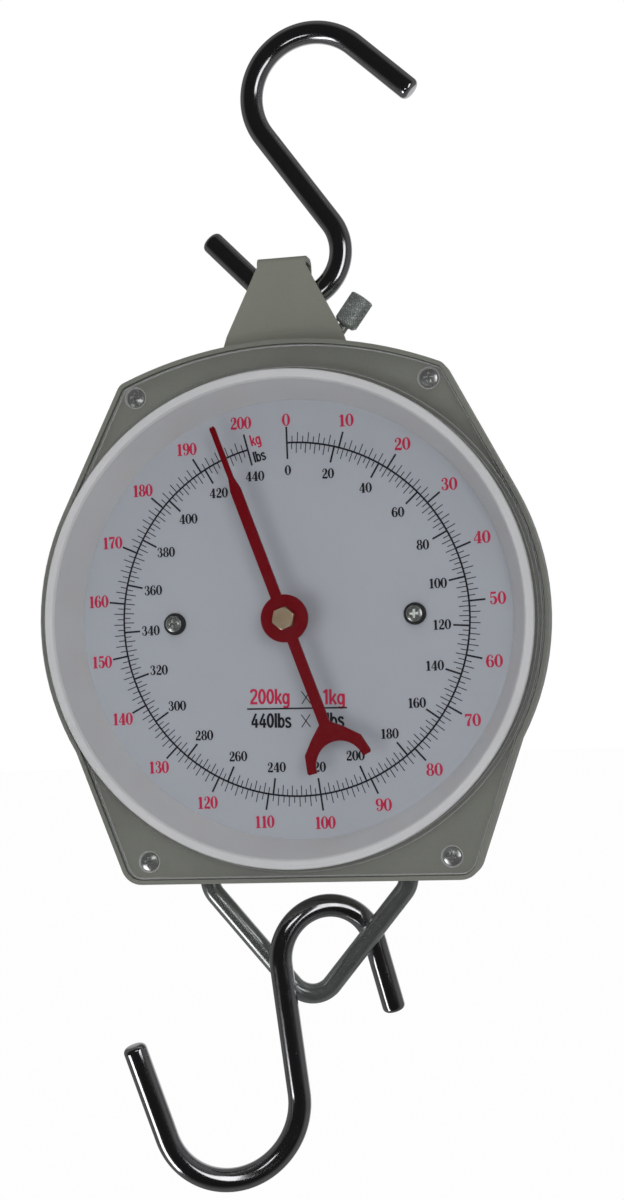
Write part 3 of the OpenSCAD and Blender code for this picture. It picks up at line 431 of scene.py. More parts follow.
@dataclass(frozen=True)
class ClearPlastic:
    """Clear moulded cover: nearly see-through face on, with faint haze and dust; paler where it is seen
    edge on, partly real haze and partly a painted reflection, and its rounded edges drawn in the pale haze
    as painted highlights.
    """

    name: str
    haze: Colour
    face: float = 0.0008
    # rim: the pale haze where the cover is seen edge on, partly real haze and partly a painted reflection.
    rim: float = 0.4
    # edge: how opaque the pale haze lies on the rounded edges, a painted highlight along them.
    edge: float = 0.9
    edge_round: float = 0.9
    dust: float = 0.0015

    def material(self) -> bpy.types.Material:
        """Builds the finish."""
        tree = SurfaceTree(self.name, Metallic=0.0, IOR=1.49, Specular_IOR_Level=0.5)
        slant = tree.signal("ShaderNodeLayerWeight", "Facing", {}, {"Blend": 0.35})
        dust = tree.noise(4, 4.0)
        pale = shade(self.haze, 1.12)
        tree.feed("Base Color", tree.blend(dust, self.haze, pale))
        tree.feed("Roughness", dust.between(0.5, 0.8) * 0.08 + 0.04)
        rounded = tree.rounded(self.edge_round)
        # Alpha of the pale haze: faint all over and in dust, heavier at a slant as partly painted
        # reflection, and near opaque on rounded edges as painted highlight lines.
        haze_and_painted_glint = slant**3.0 * (self.rim - self.face) + dust.between(0.6, 0.9) * self.dust + self.face
        haze_and_painted_glint = haze_and_painted_glint + tree.edge(rounded) * self.edge
        tree.feed("Alpha", haze_and_painted_glint.math("MINIMUM", haze_and_painted_glint, 1.0))
        tree.feed("Normal", rounded)
        return tree.material


class Finish(Enum):
    """The finishes of the scale."""

    CASE = Paint("case_enamel", srgb(119, 121, 114), 0.42)
    BRACKET = Paint("bracket_enamel", srgb(130, 131, 121), 0.46)
    CHROME = Chrome("hook_chrome", (0.60, 0.60, 0.62))
    BAIL = Chrome("bail_zinc", (0.60, 0.63, 0.62), 0.20, 0.90)
    SCREW = Plate("bright_zinc", (0.76, 0.78, 0.77), (0.60, 0.62, 0.61), 0.24, metallic=0.87)
    ZINC = Plate("zinc_plate", (0.60, 0.62, 0.61), (0.50, 0.53, 0.50), 0.24, metallic=0.85)
    KNURL = Plate(
        "knurled_zinc", (0.66, 0.70, 0.68), (0.50, 0.54, 0.52), 0.28, edge_round=0.05, metallic=0.8
    )
    WIRE = Plate("oiled_wire", (0.36, 0.36, 0.37), (0.26, 0.25, 0.25), 0.33)
    BRASS = Plate("turned_brass", (0.60, 0.48, 0.34), (0.50, 0.38, 0.25), 0.32, metallic=0.8)
    WHITE = Moulding("white_surround", srgb(200, 201, 203), 0.42, sheen=0.1)
    RUBBER = Moulding("black_rubber", srgb(36, 36, 37), 0.72, 0.02)
    FACE = Enamel("dial_enamel", srgb(164, 168, 176), 0.55, 0.015)
    RED = Enamel("pointer_enamel", srgb(104, 3, 14), 0.34, 0.05, 0.08)
    RED_INK = Enamel("red_ink", srgb(188, 36, 74), 0.6, 0.08)
    BLACK_INK = Enamel("black_ink", srgb(26, 27, 34), 0.6, 0.1)
    CLEAR = ClearPlastic("clear_cover_plastic", srgb(222, 225, 228))

    @cache
    def material(self) -> bpy.types.Material:
        """Gives the finish's material, built when it is first asked for."""
        return self.value.material()


@dataclass
class Piece:
    """Points and faces of one mesh of the dress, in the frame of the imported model."""

    name: str

    def __post_init__(self) -> None:
        """Starts empty."""
        self.points: list[Vector] = []
        self.faces: list[tuple[int, ...]] = []

    def add(self, points: Iterable[Vector], faces: Iterable[Sequence[int]]) -> None:
        """Adds points and the faces between them, which count from the first of these points."""
        base = len(self.points)
        self.points.extend(points)
        self.faces.extend(tuple(base + index for index in face) for face in faces)

    def rings(self, rings: Sequence[Sequence[Vector]]) -> None:
        """Skins closed rings of equal size in a row and closes both ends with a point in their middle."""
        sides = len(rings[0])
        points = [point for ring in rings for point in ring]
        faces: list[tuple[int, ...]] = []
        for row in range(len(rings) - 1):
            for side in range(sides):
                here, there = row * sides + side, row * sides + (side + 1) % sides
                faces.append((here, here + sides, there + sides, there))
        for ring, flip in ((0, False), (len(rings) - 1, True)):
            middle = len(points)
            points.append(sum(rings[ring], Vector()) / sides)
            for side in range(sides):
                edge = (ring * sides + side, ring * sides + (side + 1) % sides)
                faces.append((middle, edge[1], edge[0]) if flip else (middle, *edge))
        self.add(points, faces)

    def sweep(self, path: Sequence[Vector], radii: Sequence[float], sides: int) -> None:
        """Draws a round rod along a path.

        Args:
            path: points in metres, close together.
            radii: the rod's radius at each, in millimetres.
            sides: number of sides.
        """
        rings = []
        across = Vector((0, 1, 0))
        for index, point in enumerate(path):
            along = self._along(path, index)
            across = (across - along * across.dot(along)).normalized()
            third = along.cross(across)
            turns = [2 * math.pi * side / sides for side in range(sides)]
            reach = radii[index] * MM
            rings.append([point + reach * (math.cos(t) * across + math.sin(t) * third) for t in turns])
        self.rings(rings)

    @staticmethod
    def _along(path: Sequence[Vector], index: int) -> Vector:
        """Gives the direction of a path at a point, across points that lie on each other."""
        low, high = index, index
        while low > 0 and (path[low] - path[index]).length < TOUCH:
            low -= 1
        while high < len(path) - 1 and (path[high] - path[index]).length < TOUCH:
            high += 1
        return (path[high] - path[low]).normalized()

    def make(self, material: bpy.types.Material, smooth: bool = True) -> bpy.types.Object:
        """Makes the Blender object.

        Args:
            material: the finish it wears.
            smooth: if its faces shade as one curved surface.

        Returns:
            The object.
        """
        mesh = bpy.data.meshes.new(self.name)
        mesh.from_pydata([tuple(point) for point in self.points], [], self.faces)
        mesh.validate()
        mesh.materials.append(material)
        mesh.polygons.foreach_set("use_smooth", [smooth] * len(mesh.polygons))
        obj = bpy.data.objects.new(self.name, mesh)
        bpy.context.scene.collection.objects.link(obj)
        log.info("%s: %d faces", self.name, len(mesh.polygons))
        return obj


def arc(centre: Point, radius: float, start: float, end: float, step: float = 3.0) -> list[Point]:
    """Gives the points of an arc.

    Args:
        centre: its centre.
        radius: its radius.
        start: the angle it starts at, in degrees.
        end: the angle it ends at.
        step: the largest angle between two points.

    Returns:
        The points, ends included.
    """
    count = max(2, math.ceil(abs(end - start) / step))
    ways = [turned(radius, 0, start + (end - start) * k / count) for k in range(count + 1)]
    return [(centre[0] + x, centre[1] + z) for x, z in ways]


def smooth_line(points: Sequence[Sequence[float]], parts: int) -> list[tuple[float, ...]]:
    """Draws a smooth curve through points of any number of coordinates, with parts steps in each span."""
    line = []
    for index in range(len(points) - 1):
        ends = [points[min(max(index + k, 0), len(points) - 1)] for k in (-1, 0, 1, 2)]
        for step in range(parts):
            t = step / parts
            weights = (
                -0.5 * t + t * t - 0.5 * t**3,
                1 - 2.5 * t * t + 1.5 * t**3,
                0.5 * t + 2 * t * t - 1.5 * t**3,
                -0.5 * t * t + 0.5 * t**3,
            )
            line.append(tuple(sum(w * value for w, value in zip(weights, values)) for values in zip(*ends)))
    line.append(tuple(points[-1]))
    return line


@dataclass
class Hook:
    """An S hook of round rod: an eye bend, a shank and a bar bend, with straight ends."""

    name: str
    node: str
    body: str
    eye_r: float
    bar_r: float
    shank: float
    tail: float
    tip: float
    turn: float
    yaw: float
    place: Vector
    rod: float = 11.0
    tip_round: float = 2.5
    eye_open: float = 8.5
    bar_open: float = 12.0
    sides: int = 40

    def flat_line(self) -> list[tuple[float, float, float]]:
        """Gives the centreline in the hook's own plane with the rod's radius at each point."""
        thin = self.rod / 2
        eye = arc((0, 0), self.eye_r, self.eye_open - 180, 0)
        bar = arc((self.eye_r + self.bar_r, self.shank), self.bar_r, 180, self.bar_open)
        line = [(x, z, thin) for x, z in eye + bar]
        tail = self._end(self.tail, self.eye_open - 180, eye[0])
        return tail[::-1] + line + self._end(self.tip, self.bar_open, bar[-1])

    def _end(self, length: float, angle: float, start: Point) -> list[tuple[float, float, float]]:
        """Draws a straight end whose tip is rounded.

        Args:
            length: its length.
            angle: the angle on the bend where it begins.
            start: the place where it begins.

        Returns:
            Its points outwards, with the rod's radius at each.
        """
        way = turned(0, -1, angle)
        thin = self.rod / 2
        stations = [((length - self.tip_round) * k / 8, thin) for k in range(1, 9)]
        for turn in (20, 40, 60, 75, 90):
            side, out = turned(self.tip_round, 0, turn)
            stations.append((length - self.tip_round + out, thin - self.tip_round + side))
        return [(start[0] + way[0] * s, start[1] + way[1] * s, r) for s, r in stations]

    def placed(self, x: float, z: float) -> Vector:
        """Turns the hook's own plane into the frame."""
        side, up = turned(x, z, -self.turn)
        return on_dial(*(self.place + Vector((*turned(side, 0, self.yaw), up))))

    def build(self) -> None:
        """Makes the hook and puts it in its node's stead."""
        line = self.flat_line()
        piece = Piece(self.name)
        piece.sweep([self.placed(x, z) for x, z, _ in line], [r for _, _, r in line], self.sides)
        obj = piece.make(Finish.CHROME.material())
        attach(obj, self.body)
        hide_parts(self.node)


@dataclass
class Bail:
    """The bent rod under the case that carries the load hook, threaded at both ends."""

    leg_x: float = 48.5
    rod: float = 9.5
    stud: float = 8.0
    slope: float = 50.0
    knee_z: float = 128.0
    knee_r: float = 12.0
    vee_r: float = 12.6
    yoke_z: float = 84.0
    yoke_h: float = 10.0
    nut_h: float = 6.5
    stud_over: float = 3.0
    thread: float = 1.25
    groove: float = 0.35
    chamfer: float = 0.9
    runout: float = 1.5
    shoulder: float = 0.4
    sides: int = 32

    def half_line(self) -> list[tuple[float, float, float]]:
        """Gives the right half from the stud's end to the middle, with the rod's radius at each point."""
        top = self.yoke_h / 2 + self.nut_h + self.stud_over - self.yoke_z
        seat = -self.yoke_z - self.yoke_h / 2
        line = [(self.leg_x, top, 1.0), (self.leg_x, top, self.stud / 2 - self.chamfer)]
        for k in range(int((top - seat - self.runout) / self.thread * 4)):
            groove = self.groove if k % 4 in (2, 3) else 0.0
            line.append((self.leg_x, top - self.chamfer - k * self.thread / 4, self.stud / 2 - groove))
        line += [(self.leg_x, seat, self.stud / 2), (self.leg_x, seat, self.rod / 2 - self.shoulder)]
        line.append((self.leg_x, seat - self.shoulder, self.rod / 2))
        knee = self.knee_r * math.tan(math.radians(90 - self.slope) / 2)
        centre = (self.leg_x - self.knee_r, knee - self.knee_z)
        bend = arc(centre, self.knee_r, 0, self.slope - 90)
        vee_z = -self.knee_z - self.leg_x * math.tan(math.radians(self.slope))
        vee_z += self.vee_r / math.cos(math.radians(self.slope))
        vee = arc((0, vee_z), self.vee_r, self.slope - 90, -90)
        return line + [(x, z, self.rod / 2) for x, z in bend + vee]

    def build(self) -> None:
        """Makes the bail and puts it in its node's stead."""
        half = self.half_line()
        line = half + [(-x, z, r) for x, z, r in half[-2::-1]]
        piece = Piece("bail_rod")
        piece.sweep([on_dial(x, LOAD_Y, z) for x, z, _ in line], [r for _, _, r in line], self.sides)
        obj = piece.make(Finish.BAIL.material())
        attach(obj, "load_frame")
        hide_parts("bail")


@dataclass
class CoilSpring:
    """A close-wound tension spring with an arched loop at each end."""

    name: str
    node: str
    x: float
    top_z: float
    bottom_z: float
    top_leg: float
    bottom_leg: float
    wire: float
    coil_d: float
    quarter_turned: bool = False
    pitch: float = 1.004
    loop_step: float = 8.0
    steps: int = 24
    sides: int = 12

    def line(self) -> list[Vector]:
        """Gives the wire's centreline from the upper loop through the coils to the lower loop."""
        radius = self.coil_d / 2
        high, low = self.top_z - self.top_leg, self.bottom_z + self.bottom_leg
        turns = math.floor((high - low) / (self.wire * self.pitch)) + 0.5
        count = int(turns * self.steps)
        loop = [(x, 0.0, z + self.top_z) for x, z in arc((0, 0), radius, 190, 0, self.loop_step)]
        points = [*loop, (radius, 0.0, high + 0.5 * self.top_leg)]
        for k in range(count + 1):
            z = high + (low - high) * k / count
            points.append((*turned(radius, 0, 360 * turns * k / count), z))
        points.append((-radius, 0.0, low - 0.5 * self.bottom_leg))
        loop = arc((0, 0), radius, 180, 370, self.loop_step)
        points += [(x, 0.0, z + self.bottom_z) for x, z in loop]
        if self.quarter_turned:
            points = [(-y, x, z) for x, y, z in points]
        return [on_dial(self.x + x, LOAD_Y + y, z) for x, y, z in points]

    def build(self) -> None:
        """Makes the spring and puts it in its node's stead."""
        line = self.line()
        piece = Piece(self.name)
        piece.sweep(line, [self.wire / 2] * len(line), self.sides)
        obj = piece.make(Finish.WIRE.material())
        top = on_dial(self.x, LOAD_Y, self.top_z - self.top_leg)
        bottom = on_dial(self.x, LOAD_Y, self.bottom_z + self.bottom_leg)
        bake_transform(obj)
        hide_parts(self.node)


@dataclass
class ThumbScrew:
    """The zero screw with its diamond-knurled head, plain neck and collar."""

    lean: float = 37.0
    x: float = 29.3
    z: float = 141.1
    head_d: float = 11.8
    head_len: float = 14.4
    head_in: float = 1.8
    shank_d: float = 5.0
    shank_len: float = 45.8
    collar_d: float = 8.0
    collar_from: float = 24.0
    collar_to: float = 25.7
    chamfer: float = 0.2
    knurls: int = 24
    groove: float = 0.55
    ridge: float = 1.6
    rows: int = 66
    sides: int = 180
    crease: float = 35.0

    def profile(self) -> list[tuple[float, float, bool]]:
        """Gives (place along the screw, radius, knurled) from the head's end to the screw's end."""
        head, neck = self.head_d / 2, self.shank_d / 2
        plain = [(0.0, 1.0), (0.0, 2.6), (0.25, 3.0), (0.15, 4.2), (0.25, head - 0.9), (0.6, head - 0.35)]
        line = [(s - self.head_len, r, False) for s, r in plain]
        knurl_from, knurl_to = 0.9 - self.head_len, self.head_in - 1.5
        for k in range(self.rows + 1):
            line.append((knurl_from + (knurl_to - knurl_from) * k / self.rows, head, True))
        collar = self.collar_d / 2
        foot = [(-1.2, head - 0.35), (-0.3, head - 1.1), (0.0, head - 1.5), (0.0, neck + 0.5), (0.5, neck)]
        rest = [(s + self.head_in, r) for s, r in foot]
        for end, inwards in ((self.collar_from, 1), (self.collar_to, -1)):
            edge = [(end, neck), (end, collar - self.chamfer), (end + inwards * self.chamfer, collar)]
            rest += edge[::inwards]
        rest += [(self.shank_len - 0.6, neck), (self.shank_len, neck - 0.6)]
        return line + [(s, r, False) for s, r in rest]

    def build(self) -> None:
        """Makes the screw and puts it in its node's stead."""
        x, z = turned(0, -1, -self.lean)
        along = Vector((x, 0, z))
        third = along.cross(Vector((0, 1, 0)))
        start = Vector((self.x, LOAD_Y, self.z))
        slant = self.knurls / self.head_d * 2
        rings = []
        for s, radius, knurled in self.profile():
            ring = []
            for side in range(self.sides):
                t = 2 * math.pi * side / self.sides
                cut = 0.0
                if knurled:
                    lines = (abs(math.sin((self.knurls * t + sign * slant * s) / 2)) for sign in (1, -1))
                    cut = self.groove * (1 - min(1.0, self.ridge * min(lines)))
                out = math.cos(t) * Vector((0, 1, 0)) + math.sin(t) * third
                ring.append(on_dial(*(start + along * s + out * (radius - cut))))
            rings.append(ring)
        piece = Piece("zero_screw_knurled")
        piece.rings(rings)
        obj = piece.make(Finish.KNURL.material())
        with bpy.context.temp_override(object=obj, active_object=obj, selected_editable_objects=[obj]):
            bpy.ops.object.shade_smooth_by_angle(angle=math.radians(self.crease))
        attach(obj, "zero_screw")
        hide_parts("thumb_screw")


class Lettering(Enum):
    """The two styles of figure on the dial."""

    SERIF = "serif"
    PLAIN = "plain"


Stroke = list[tuple[float, ...]]
Figure = tuple[float, list[Stroke]]
OVAL_SIDES = 12
CURVE_STEPS = 6


def ring_stroke(centre: Point, half_w: float, half_h: float, thick: float, thin: float) -> Stroke:
    """Gives a closed oval stroke, thick at its sides and thin at its top and foot."""
    x, y = centre
    ways = [turned(1, 0, 360 * k / OVAL_SIDES) for k in range(OVAL_SIDES + 1)]
    return [(x + half_w * c, y + half_h * s, thin + (thick - thin) * c**2) for c, s in ways]


def blob(x: float, y: float, size: float) -> Stroke:
    """Gives the round end of a stroke as a short stroke of its own."""
    return [(x + size * k / 4, y, size * share) for k, share in zip(range(-2, 3), (0.3, 0.9, 1, 0.9, 0.3))]


def figure(width: float, *strokes: Stroke) -> Figure:
    """Makes a figure one high from its width and its strokes in hundredths of its height."""
    return width / 100, [[tuple(value / 100 for value in point) for point in stroke] for stroke in strokes]


SIX = [[(50, 84, 6), (42, 95.5, 5.5), (31, 96.5, 6), (17, 83, 13), (10.5, 55, 17.5), (10.5, 36, 17.5),
       (17, 12, 12), (31, 3.5, 6), (45, 12, 13), (50, 30, 16.5), (45, 49, 13), (33, 58, 6), (20, 50, 5)],
       blob(46, 81, 13)]

# Figures and letters, with their strokes as (x, height, width of the stroke)
FIGURES: dict[Lettering, dict[str, Figure]] = {
    Lettering.SERIF: {
        "0": figure(62, ring_stroke((31, 50), 21.5, 46.5, 18, 6.5)),
        "1": figure(54, [(29, 4, 18), (29, 96, 18)], [(10, 80, 5), (22, 88, 9), (29, 95, 10)], [(8, 3, 6),
            (50, 3, 6)]),
        "2": figure(62, [(12, 74, 6), (15, 87, 6), (30, 96.5, 6.5), (45, 87, 14), (47.5, 70, 17),
            (40, 50, 13), (22, 30, 9), (9, 10, 9)], [(7, 8.5, 14), (30, 9.5, 15), (50, 7.5, 15),
            (55, 12, 6), (56.5, 26, 5)], blob(15, 74, 15)),
        "3": figure(62, [(12, 78, 6), (17, 91, 6), (30, 96.5, 6), (43, 87, 13), (45, 73, 15), (41, 60, 11),
            (27, 53.5, 5.5)], [(27, 53.5, 5.5), (43, 47, 11), (50, 29, 17), (43, 10, 13), (28, 3.5, 6),
            (15, 9, 6), (11, 20, 5)], blob(14, 78, 14), blob(13, 21, 14)),
        "4": figure(64, [(42, 96, 7), (5, 29, 6)], [(4, 26, 6.5), (62, 26, 6.5)], [(42, 4, 18),
            (42, 97, 18)], [(25, 3, 6), (59, 3, 6)]),
        "5": figure(62, [(13, 91, 14), (35, 90.5, 14), (52, 93, 12)], [(14, 94, 6), (12, 50, 5)],
            [(12, 51, 5), (27, 60.5, 7), (43, 53, 14), (49.5, 33, 17.5), (43, 11, 13), (28, 3.5, 6),
            (15, 9, 6), (10, 20, 5)], blob(13, 21, 14)),
        "6": figure(62, *SIX),
        "7": figure(60, [(8, 90, 15), (30, 90, 15), (55, 92.5, 12)], [(8.5, 97, 5), (7.5, 70, 5)],
            [(54, 87, 7), (40, 60, 10), (31, 33, 16), (29, 3, 18)]),
        "8": figure(62, ring_stroke((31, 74.5), 16.5, 22, 15, 6), ring_stroke((31, 27.5), 20, 24, 17, 6)),
        "9": figure(62, *([(62 - x, 100 - y, w) for x, y, w in stroke] for stroke in SIX)),
    },
    Lettering.PLAIN: {
        "0": figure(52, ring_stroke((25, 50), 17, 43, 14, 13)),
        "1": figure(36, [(22, 0, 14), (22, 100, 14)], [(4, 78, 12), (21, 93, 12)]),
        "2": figure(52, [(8, 76, 13), (12, 89, 13), (25, 93.5, 13), (39, 87, 13), (41, 70, 13),
            (33, 48, 13), (16, 24, 13), (8, 7, 13)], [(3, 6.5, 13), (48, 6.5, 13)]),
        "4": figure(54, [(36, 98, 12), (8, 30, 12)], [(4, 25, 12), (52, 25, 12)], [(37, 0, 13),
            (37, 62, 13)]),
        "k": figure(46, [(9, 0, 14), (9, 100, 14)], [(13, 26, 12), (40, 70, 12)], [(20, 42, 12),
            (42, 0, 14)]),
        "g": figure(50, ring_stroke((24, 35), 15.5, 30, 13, 12), [(41, 70, 13), (41, 5, 13), (38, -14, 13),
            (25, -22, 12), (9, -17, 12)]),
        "l": figure(22, [(10, 0, 14), (10, 100, 14)]),
        "b": figure(50, [(9, 0, 14), (9, 100, 14)], ring_stroke((26, 35), 15.5, 30, 13, 12)),
        "s": figure(44, [(37, 55, 12), (29, 65.5, 12), (14, 65, 12), (8, 52, 13), (17, 40, 13),
            (31, 31, 13), (37, 18, 13), (29, 6, 12), (14, 5.5, 12), (6, 17, 12)]),
        "x": figure(62, [(6, 10, 6), (56, 80, 6)], [(6, 80, 6), (56, 10, 6)]),
    },
}


@dataclass
class Ink:
    """Print in one colour: flat shapes a hair in front of the dial plate."""

    name: str
    finish: Finish
    layer: float
    layers: int = 4
    layer_step: float = 0.012

    def __post_init__(self) -> None:
        """Starts with no shapes."""
        self.piece = Piece(self.name)
        self.shapes = 0

    def _depth(self) -> float:
        """Gives each shape a layer of its own, so that no two lie in one plane."""
        self.shapes += 1
        return -self.layer - self.layer_step * (self.shapes % self.layers)

    def ribbon(self, stroke: Sequence[tuple[float, ...]]) -> None:
        """Draws a stroke of (x, z, width) in millimetres on the dial."""
        depth = self._depth()
        points = []
        for index, (x, z, width) in enumerate(stroke):
            before, after = stroke[max(index - 1, 0)], stroke[min(index + 1, len(stroke) - 1)]
            if index in (0, len(stroke) - 1) and math.dist(stroke[0][:2], stroke[-1][:2]) < TOUCH:
                before, after = stroke[-2], stroke[1]
            run, rise = after[0] - before[0], after[1] - before[1]
            reach = width / 2 / max(math.hypot(run, rise), 1e-9)
            points.append(on_dial(x - rise * reach, depth, z + run * reach))
            points.append(on_dial(x + rise * reach, depth, z - run * reach))
        faces = [(k, k + 1, k + 3, k + 2) for k in range(0, len(points) - 2, 2)]
        self.piece.add(points, faces)

    def spoke(self, angle: float, inner: float, outer: float, width: float) -> None:
        """Draws a graduation at an angle clockwise from twelve o'clock, between two radii."""
        self.ribbon([(*turned(0, reach, -angle), width) for reach in (inner, outer)])

    def write(self, text: str, centre: Point, height: float, style: Lettering = Lettering.PLAIN,
              tilt: float = 0, pitch: float = 1, weight: float = 1.25) -> None:
        """Writes a line of figures.

        Args:
            text: what it says.
            centre: the middle of the line on the dial.
            height: the figures' height.
            style: the style of the figures.
            tilt: the angle that the line is turned by, clockwise.
            pitch: how wide the line runs against its usual width.
            weight: how thick the strokes are against their usual width.
        """
        figures = [FIGURES[style][letter] for letter in text]
        pen = -sum(width for width, _ in figures) * pitch / 2
        for width, strokes in figures:
            for stroke in strokes:
                line = []
                for along, rise, thick in smooth_line(stroke, CURVE_STEPS) if len(stroke) > 3 else stroke:
                    x, z = turned((pen + along * pitch) * height, (rise - 0.5) * height, -tilt)
                    line.append((centre[0] + x, centre[1] + z, thick * height * weight))
                self.ribbon(line)
            pen += width * pitch

    def build(self) -> None:
        """Lays the print on the dial plate."""
        obj = self.piece.make(self.finish.material(), smooth=False)
        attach(obj, "case_body")


@dataclass
class DialPrint:
    """What is printed on the dial: the arc, both graduations, their figures and the capacity lines."""

    arc_r: float = 84.0
    arc_steps: int = 240
    sweep: float = 346.75
    kg_full: int = 200
    lb_full: int = 440
    major_out: float = 91.7
    major_in: float = 76.2
    long_mark: float = 5.0
    short_mark: float = 3.2
    bold: float = 0.88
    fine: float = 0.43
    kg_height: float = 5.9
    lb_height: float = 4.75
    kg_r: float = 97.4
    kg_zero_r: float = 95.0
    lb_r: float = 70.9
    kg_pitch: float = 1.08
    kg_long_pitch: float = 0.95
    lb_pitch: float = 1.02

    def _place(self, share: float, reach: float) -> Point:
        """Gives the place at a share of the full load and a reach from the pointer's axis."""
        return turned(0, reach, -self.sweep * share)

    def graduate(self, ink: Ink) -> None:
        """Draws the arc and the marks, kilograms outwards and pounds inwards."""
        shares = [k / self.arc_steps for k in range(self.arc_steps + 1)]
        ink.ribbon([(*self._place(share, self.arc_r), self.bold) for share in shares])
        scales = ((self.kg_full, 1, self.major_out, 1), (self.lb_full, 2, self.major_in, -1))
        for full, step, major, side in scales:
            for mark in range(0, full + 1, step):
                angle = self.sweep * (mark / full)
                if mark % (10 * step) == 0:
                    ink.spoke(angle, self.arc_r - side * self.bold / 2, major, self.bold)
                else:
                    reach = self.long_mark if mark % (2 * step) == 0 else self.short_mark
                    ink.spoke(angle, self.arc_r, self.arc_r + side * reach, self.fine)

    def number(self, kilos: Ink, pounds: Ink) -> None:
        """Writes the figures beside the long marks."""
        for kilo in range(0, self.kg_full + 1, 10):
            place = self._place(kilo / self.kg_full, self.kg_r if kilo else self.kg_zero_r)
            pitch = self.kg_long_pitch if kilo >= 100 else self.kg_pitch
            kilos.write(str(kilo), place, self.kg_height, Lettering.SERIF, pitch=pitch)
        for pound in range(0, self.lb_full + 1, 20):
            place = self._place(pound / self.lb_full, self.lb_r)
            pounds.write(str(pound), place, self.lb_height, Lettering.SERIF, pitch=self.lb_pitch)

    def capacity(self, red: Ink, black: Ink) -> None:
        """Writes the units beside the last mark and the two lines of capacity and step."""
        red.write("kg", (-15.4, 86.5), 5.4, tilt=-13)
        black.write("lbs", (-13.7, 78.6), 5.2, tilt=-13)
        red.write("200kg", (-13.2, -36.4), 7.2, tilt=1.5, pitch=1.08)
        red.write("1kg", (17.9, -37.6), 7.2, tilt=1.5, pitch=1.14)
        black.write("440lbs", (-13.0, -47.8), 6.9, tilt=1.5, pitch=1.04)
        black.write("2lbs", (16.2, -48.4), 6.9, tilt=1.5, pitch=1.08)
        black.write("x", (4.4, -37.0), 8.6, weight=0.9)
        black.write("x", (3.9, -48.1), 8.6, weight=0.9)
        black.ribbon([(-24.5, -42.0, 0.75), (24.0, -42.9, 0.75)])

    def build(self) -> None:
        """Prints the dial in its two colours."""
        marks = Ink("dial_marks", Finish.BLACK_INK, 0.03)
        red = Ink("dial_red_figures", Finish.RED_INK, 0.03)
        black = Ink("dial_black_figures", Finish.BLACK_INK, 0.09)
        self.graduate(marks)
        self.number(red, black)
        self.capacity(red, black)
        for ink in (marks, red, black):
            ink.build()


@dataclass
class ClearCover:
    """The moulded cover, drawn a hair in front of the case so that no two faces share a plane."""

    node: bpy.types.Object
    lift: float = 0.05

    def build(self) -> None:
        """Makes the cover from its node's mesh and puts it in the node's stead."""
        piece = Piece("clear_moulding")
        lift = Vector((0, -self.lift * MM, 0))
        points = [vertex.co + lift for vertex in self.node.data.vertices]
        piece.add(points, [tuple(face.vertices) for face in self.node.data.polygons])
        obj = piece.make(Finish.CLEAR.material())
        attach(obj, "case_body")
        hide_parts("clear_cover")


class Fittings:
    """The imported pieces, each with its finish."""

    WORN = {
        Finish.CASE: ["case"],
        Finish.BRACKET: ["hanger_bracket"],
        Finish.CLEAR: ["clear_cover"],
        Finish.WHITE: ["dial_surround"],
        Finish.FACE: ["dial_plate"],
        Finish.RED: ["pointer"],
        Finish.RUBBER: ["dial_collars", "stop_pads"],
        Finish.CHROME: ["top_hook", "load_hook"],
        Finish.BAIL: ["bail"],
        Finish.SCREW: ["cover_screws"],
        Finish.WIRE: ["main_spring_left", "main_spring_right", "zero_spring"],
        Finish.KNURL: ["thumb_screw"],
        Finish.BRASS: [
            "bridge_pillars", "front_bush", "rear_bush", "guide_roller", "adjuster_nut", "zero_lever",
            "rack", "spindle", "pinion", "pointer_nut",
        ],
    }

    def build(self, nodes: Mapping[str, bpy.types.Object]) -> None:
        """Gives every CAD node its finish, plated steel where no other is named."""
        named = {name: finish for finish, names in self.WORN.items() for name in names}
        for name, obj in nodes.items():
            finish = named.get(name, Finish.ZINC)
            for slot in obj.material_slots:
                slot.material = finish.material()
            log.info("%s: %s", name, finish.name.lower())


@dataclass(frozen=True)
class Lamp:
    """An oblong soft lamp that faces the scale, with its place and size in metres and power in watts.

    A lamp with sheen is seen only as a gleam on metal. Any other gives only plain light.
    """

    name: str
    place: tuple[float, float, float]
    size: Point
    power: float
    sheen: bool = False

    def hang(self, aim: Vector) -> None:
        """Adds the lamp to the scene, turned to a place."""
        light = bpy.data.lights.new(self.name, "AREA")
        light.shape = "RECTANGLE"
        light.size, light.size_y = self.size
        light.energy = self.power
        obj = bpy.data.objects.new(self.name, light)
        obj.location = self.place
        obj.rotation_euler = (aim - Vector(self.place)).to_track_quat("-Z", "Y").to_euler()
        obj.visible_glossy = self.sheen
        obj.visible_diffuse = not self.sheen
        bpy.context.scene.collection.objects.link(obj)


